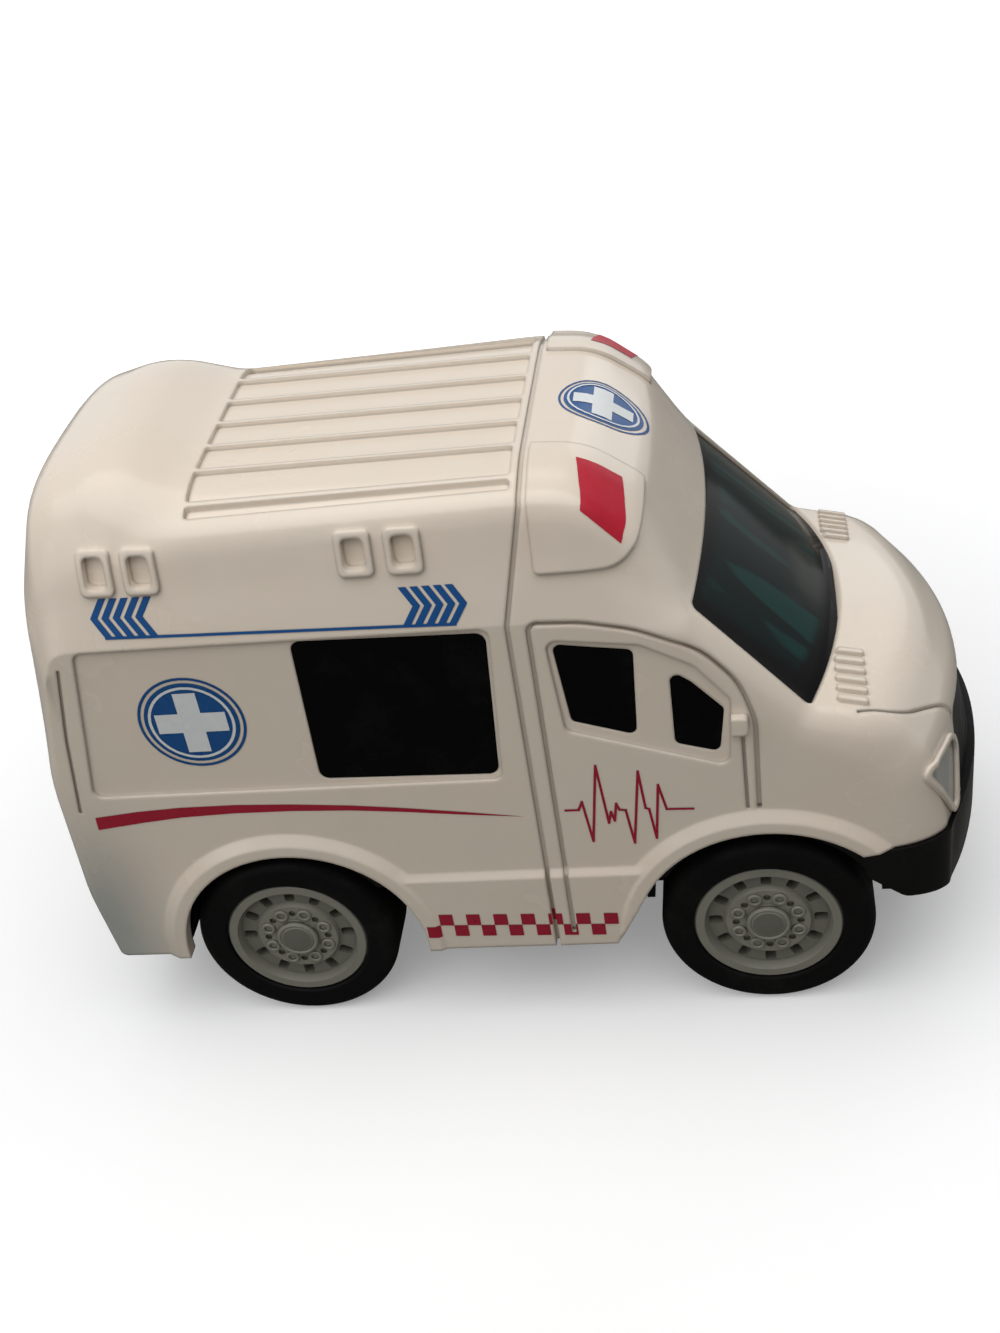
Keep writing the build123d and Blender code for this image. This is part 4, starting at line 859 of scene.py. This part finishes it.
def wrapped(name, corners, material, lift, cells):
    """Ink film between four corners in millimetres, laid on the nearest skin."""
    tree = skin()[2]
    film = bmesh.new()
    rows = []
    for down in range(cells[1] + 1):
        near, far = (corners[a].lerp(corners[b], down / cells[1]) for a, b in ((0, 3), (1, 2)))
        row = []
        for along in range(cells[0] + 1):
            place, normal, _, _ = tree.find_nearest(near.lerp(far, along / cells[0]) * MM)
            row.append(film.verts.new(place + normal * lift))
        rows.append(row)
    for upper, lower in zip(rows, rows[1:]):
        for k in range(cells[0]):
            film.faces.new((upper[k], upper[k + 1], lower[k + 1], lower[k]))
    return settled(name, film, material, 2, 1)


def settled(name, film, material, depth, sign):
    """Object of an ink film, riding on the body and facing along the given axis."""
    for face in film.faces:
        face.normal_update()
        if face.normal[depth] * sign < 0:
            face.normal_flip()
        face.smooth = True
    piece = as_object(name, film, material)
    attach(piece, "van")
    return piece


def on_side(name, outlines, side, material, lift):
    """Ink film on one flank, from outlines in length and height."""
    return laid_on(name, outlines, (0, 2, 1, side), material, lift)


def stroke(points, width):
    """Bars along a broken line, each a little longer than its run so that corners fill."""
    bars = []
    for start, end in zip(points, points[1:]):
        a, b = Vector(start), Vector(end)
        along = (b - a).normalized() * width / 2
        square = Vector((-along.y, along.x))
        first = a - along
        last = b + along
        corners = (first - square, last - square, last + square, first + square)
        bars.append([tuple(corner) for corner in corners])
    return bars


def ring(centre, inner, outer, count=48):
    """Outlines of a flat ring, cut into quads, or of a disc if the inner radius is nought."""

    def at(radius, step):
        angle = 2 * pi * step / count
        return (centre[0] + radius * cos(angle), centre[1] + radius * sin(angle))

    if not inner:
        return [[at(outer, step) for step in range(count)]]
    return [[at(inner, k), at(outer, k), at(outer, k + 1), at(inner, k + 1)] for k in range(count)]


def plus_sign(centre, reach, half_width):
    """Outline of an upright plus."""
    x, z = centre
    r, h = reach, half_width
    corners = [
        (h, h), (h, r), (-h, r), (-h, h), (-r, h), (-r, -h),
        (-h, -h), (-h, -r), (h, -r), (h, -h), (r, -h), (r, h),
    ]
    return [(x + a, z + b) for a, b in corners]


def arrows(tip_x, low_z, high_z, pitch, towards):
    """Row of slanting arrow strokes; towards is -1 for arrows that point rearwards."""
    middle = (low_z + high_z) / 2
    back = -towards * ARROW_DEPTH
    bar = -towards * ARROW_WIDTH
    shapes = []
    for number in range(ARROW_COUNT):
        x = tip_x - towards * number * pitch
        shapes.append([(x, middle), (x + back, high_z), (x + back + bar, high_z), (x + bar, middle)])
        shapes.append([(x, middle), (x + bar, middle), (x + back + bar, low_z), (x + back, low_z)])
    return shapes


def roundel(centre, disc, rim, plus, band):
    """Outlines of a roundel: its disc, its rim, its plus and the band round the plus."""
    return ring(centre, 0, disc), ring(centre, *rim), [plus_sign(centre, *plus)], ring(centre, *band)


def checks():
    """Squares of the checker band, which falls a little towards the front."""
    wide, tall = CHECK_SIZE
    fall = CHECK_FALL * wide
    squares = []
    for row in (0, 1):
        for number in range(row, CHECK_COUNT, 2):
            x = CHECK_X + number * wide
            z = CHECK_Z + row * tall - CHECK_FALL * number * wide
            squares.append([(x, z), (x + wide, z - fall), (x + wide, z + tall - fall), (x, z + tall)])
    return squares


def ink(name, colour):
    """Printed ink: a solid colour with faint screen unevenness and a soft gloss."""
    worn = tuple(min(1.0, part * 1.5 + 0.03) for part in colour)
    return finish_material(
        name, soiled_and_shaded(colour, dirt_and_shade=worn, scale=420.0, amount=0.12), grain=(1500.0, 0.25, 0.42), bump=0.15,
        specular=0.25,
    )


# ---------------------------------------------------------------- door lines and prints


def rounded_line(points, radii):
    """Points along a broken line with rounded corners, about evenly spaced."""
    corners = [Vector(point) for point in points]
    turns = [corners[0]]
    for number in range(1, len(corners) - 1):
        here = corners[number]
        back = (corners[number - 1] - here).normalized()
        ahead = (corners[number + 1] - here).normalized()
        reach = radii[number] / tan(back.angle(ahead) / 2)
        first = here + back * reach
        last = here + ahead * reach
        for step in range(CORNER_STEPS + 1):
            share = step / CORNER_STEPS
            turns.append(first.lerp(here, share).lerp(here.lerp(last, share), share))
    turns.append(corners[-1])
    places = []
    for start, end in zip(turns, turns[1:]):
        count = max(1, round((end - start).length / BED_STEP))
        places += [start.lerp(end, k / count) for k in range(count)]
    return places + [corners[-1]]


def flank_width(place, square, side):
    """Least distance of the flank from the middle plane, beside a place of the door line."""
    tree = skin()[2]
    widths = []
    for reach in BED_PROBES:
        start = place + square * reach
        outside = Vector((start.x * MM, side * FLANK_RAY_START, start.y * MM))
        hit = tree.ray_cast(outside, Vector((0, -side, 0)))[0]
        if hit and hit.y * side > FLANK_LEAST_Y:
            widths.append(hit.y * side)
    return min(widths, default=None)


class TOY_OT_door_lines(bpy.types.Operator):
    """Lay a floor in the shut line round each front door"""

    bl_idname = "toy.door_lines"
    bl_label = "Door shut lines"

    def execute(self, context):
        material = bpy.data.materials["Gloss enamel"]
        line = rounded_line(DOOR_LINE, DOOR_LINE_RADII)
        section = ((-1, 0), (1, 0), (1, 1), (-1, 1))
        for word, side in SIDES:
            bed = bmesh.new()
            rows = []
            for number, place in enumerate(line):
                along = line[min(number + 1, len(line) - 1)] - line[max(number - 1, 0)]
                square = Vector((-along.y, along.x)).normalized()
                width = flank_width(place, square, side)
                if width is None:
                    continue
                row = []
                for across, under in section:
                    x = (place.x + square.x * across * BED_HALF_WIDTH) * MM
                    y = side * (width - BED_DEPTH * MM - under * BED_THICKNESS * MM)
                    z = (place.y + square.y * across * BED_HALF_WIDTH) * MM
                    row.append(bed.verts.new((x, y, z)))
                rows.append(row)
            for row, following in zip(rows, rows[1:]):
                for k in range(4):
                    bed.faces.new((row[k], row[(k + 1) % 4], following[(k + 1) % 4], following[k]))
            bed.faces.new(rows[0])
            bed.faces.new(reversed(rows[-1]))
            bmesh.ops.recalc_face_normals(bed, faces=bed.faces[:])
            piece = as_object(f"door_line_bed_{word}", bed, material)
            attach(piece, "van")
        return {"FINISHED"}


class TOY_OT_side_prints(bpy.types.Operator):
    """Print the arrows, swoosh, checks, pulse line and roundel on both flanks"""

    bl_idname = "toy.side_prints"
    bl_label = "Side prints"

    def execute(self, context):
        paint = context.scene.toy_paint
        lift = paint.lift
        blue = ink("Blue ink", paint.blue)
        red = ink("Red ink", paint.red)
        pale = ink("Pale ink", PALE_INK)
        disc, rim, plus, band = roundel(**SIDE_ROUNDEL)
        arrow_shapes = arrows(**REAR_ARROWS) + arrows(**FRONT_ARROWS)
        prints = (
            ("arrows", arrow_shapes, blue, lift),
            ("underline", stroke(UNDERLINE, UNDERLINE_WIDTH), blue, lift * UNDERLINE_LIFT),
            ("swoosh", [SWOOSH], red, lift),
            ("checks", checks(), red, lift),
            ("pulse", stroke(PULSE, PULSE_WIDTH), red, lift),
            ("roundel", disc, blue, lift),
            ("roundel_rim", rim, blue, lift),
            ("roundel_plus", plus, pale, lift * OVERPRINT_LIFT),
            ("roundel_band", band, pale, lift * OVERPRINT_LIFT),
        )
        for word, side in SIDES:
            for name, outlines, material, height in prints:
                on_side(f"{name}_{word}", outlines, side, material, height)
        return {"FINISHED"}


class TOY_OT_roof_prints(bpy.types.Operator):
    """Print the roundel and the red patches on the cab roof"""

    bl_idname = "toy.roof_prints"
    bl_label = "Roof prints"

    def execute(self, context):
        paint = context.scene.toy_paint
        lift = paint.lift
        blue = bpy.data.materials["Blue ink"]
        pale = bpy.data.materials["Pale ink"]
        red = ink("Beacon ink", paint.beacon)
        over = lift * OVERPRINT_LIFT
        disc, rim, plus, band = roundel(**ROOF_ROUNDEL)
        laid_on("roof_roundel", disc, FROM_ABOVE, blue, lift)
        laid_on("roof_roundel_plus", plus, FROM_ABOVE, pale, over)
        laid_on("roof_roundel_band", band, FROM_ABOVE, pale, over)
        laid_on("roof_roundel_rim", rim, FROM_ABOVE, blue, lift)
        for word, side in SIDES:
            corners = [Vector((x, side * y, z)) for x, y, z in BEACON]
            wrapped(f"beacon_patch_{word}", corners, red, lift, BEACON_CELLS)
        return {"FINISHED"}


# ---------------------------------------------------------------- studio


class TOY_OT_stage(bpy.types.Operator):
    """Set up the floor, soft lights and the camera"""

    bl_idname = "toy.stage"
    bl_label = "Studio"

    def execute(self, context):
        studio = context.scene.toy_studio
        scene = context.scene
        self.make_floor(studio)
        self.make_lights(studio)
        self.make_camera(studio)
        world = bpy.data.worlds.new("Studio world")
        world.use_nodes = True
        tree = world.node_tree
        background = tree.nodes["Background"]
        ray = tree.nodes.new("ShaderNodeLightPath")
        seen = maths(tree, "MAXIMUM", ray.outputs["Is Camera Ray"], ray.outputs["Is Transmission Ray"])
        seen = maths(tree, "MAXIMUM", seen, ray.outputs["Is Glossy Ray"])
        tree.links.new(mixed(tree, seen, SKY_LIGHT, WHITE), background.inputs["Color"])
        strength = spread(tree, seen, 0.0, 1.0, SKY_STRENGTH, 1.0)
        tree.links.new(strength, background.inputs["Strength"])
        scene.world = world
        scene.view_settings.view_transform = "Standard"
        return {"FINISHED"}

    def make_floor(self, studio):
        """Pale disc under the toy that shows white and keeps the shadow."""
        material = bpy.data.materials.new("Pale floor")
        material.use_nodes = True
        tree = material.node_tree
        shader = tree.nodes["Principled BSDF"]
        place = tree.nodes.new("ShaderNodeTexCoord").outputs["Object"]
        cloud = put(tree, "ShaderNodeTexNoise", Vector=place, Scale=30.0, Detail=4.0)
        smudge = spread(tree, cloud.outputs["Fac"], 0.3, 0.7, 0.0, 0.2)
        tone = mixed(tree, smudge, rgba(studio.floor), FLOOR_SMUDGE)
        seen = tree.nodes.new("ShaderNodeLightPath").outputs["Is Camera Ray"]
        tree.links.new(mixed(tree, seen, FLOOR_BOUNCE, tone), shader.inputs["Base Color"])
        shader.inputs["Emission Color"].default_value = WHITE
        reach = put(tree, "ShaderNodeVectorMath", {"operation": "LENGTH"}, _0=place).outputs["Value"]
        # Camera-only glow, weaker near the toy: painted shade on the floor round it
        glow = spread(tree, reach, *FLOOR_GLOW_REACH, *FLOOR_GLOW)
        tree.links.new(maths(tree, "MULTIPLY", seen, glow), shader.inputs["Emission Strength"])
        shader.inputs["Roughness"].default_value = 0.7
        ground = bmesh.new()
        bmesh.ops.create_circle(ground, cap_ends=True, segments=96, radius=FLOOR_RADIUS)
        floor = as_object("floor", ground, material)

    def make_lights(self, studio):
        """One large soft light overhead and two weaker fills."""
        target = Vector(LIGHT_TARGET)
        for name, place, size, share in LIGHTS:
            lamp = bpy.data.lights.new(name, "AREA")
            lamp.shape = "DISK"
            lamp.size = size
            lamp.energy = studio.key_power * share
            holder = bpy.data.objects.new(name, lamp)
            holder.location = place
            holder.rotation_euler = (target - Vector(place)).to_track_quat("-Z", "Y").to_euler()
            bpy.context.scene.collection.objects.link(holder)

    def make_camera(self, studio):
        """Camera from its place, azimuth, elevation and roll."""
        azimuth, elevation, roll = studio.azimuth, studio.elevation, studio.roll
        back = Vector((sin(azimuth) * cos(elevation), -cos(azimuth) * cos(elevation), sin(elevation)))
        ahead = -back
        right = ahead.cross(Vector((0, 0, 1))).normalized()
        above = right.cross(ahead)
        turned_right = right * cos(roll) + above * sin(roll)
        turned_up = above * cos(roll) - right * sin(roll)
        turn = Matrix((turned_right, turned_up, back)).transposed()
        eye = bpy.data.cameras.new("Camera")
        eye.sensor_fit = "VERTICAL"
        eye.sensor_height = SENSOR_HEIGHT
        eye.lens = studio.lens
        eye.clip_start = 0.01
        camera = bpy.data.objects.new("Camera", eye)
        camera.matrix_world = Matrix.Translation(Vector(studio.camera_place)) @ turn.to_4x4()
        bpy.context.scene.collection.objects.link(camera)
        bpy.context.scene.camera = camera


# ---------------------------------------------------------------- panel and registration


class TOY_PT_panel(bpy.types.Panel):
    """Lists the steps and their settings in the sidebar"""

    bl_idname = "TOY_PT_panel"
    bl_label = "Toy ambulance"
    bl_space_type = "VIEW_3D"
    bl_region_type = "UI"
    bl_category = "Toy"

    def draw(self, context):
        layout = self.layout
        for operator in OPERATORS:
            layout.operator(operator.bl_idname)
        for settings in (context.scene.toy_paint, context.scene.toy_parts, context.scene.toy_studio):
            box = layout.box()
            for name in settings.__annotations__:
                box.prop(settings, name)


SETTINGS = (
    ("toy_paint", ToyPaintSettings), ("toy_parts", ToyPartsSettings), ("toy_studio", ToyStudioSettings),
)
OPERATORS = (
    TOY_OT_effects, TOY_OT_enamel, TOY_OT_windows, TOY_OT_running_gear, TOY_OT_hub_bosses, TOY_OT_motor,
    TOY_OT_door_lines, TOY_OT_side_prints, TOY_OT_roof_prints, TOY_OT_stage,
)


def register():
    """Register the classes and hang the settings on the scene."""
    for name, group in SETTINGS:
        bpy.utils.register_class(group)
        setattr(bpy.types.Scene, name, bpy.props.PointerProperty(type=group))
    for operator in OPERATORS:
        bpy.utils.register_class(operator)
    bpy.utils.register_class(TOY_PT_panel)


def unregister():
    """Undo register."""
    bpy.utils.unregister_class(TOY_PT_panel)
    for operator in reversed(OPERATORS):
        bpy.utils.unregister_class(operator)
    for name, group in reversed(SETTINGS):
        delattr(bpy.types.Scene, name)
        bpy.utils.unregister_class(group)


def main():
    """Dress the toy and set the studio."""
    register()
    bpy.ops.toy.effects()
    bpy.ops.toy.enamel()
    bpy.ops.toy.windows()
    bpy.ops.toy.running_gear()
    bpy.ops.toy.hub_bosses()
    bpy.ops.toy.motor()
    bpy.ops.toy.door_lines()
    bpy.ops.toy.side_prints()
    bpy.ops.toy.roof_prints()
    bpy.ops.toy.stage()


if __name__ == "__main__":
    main()
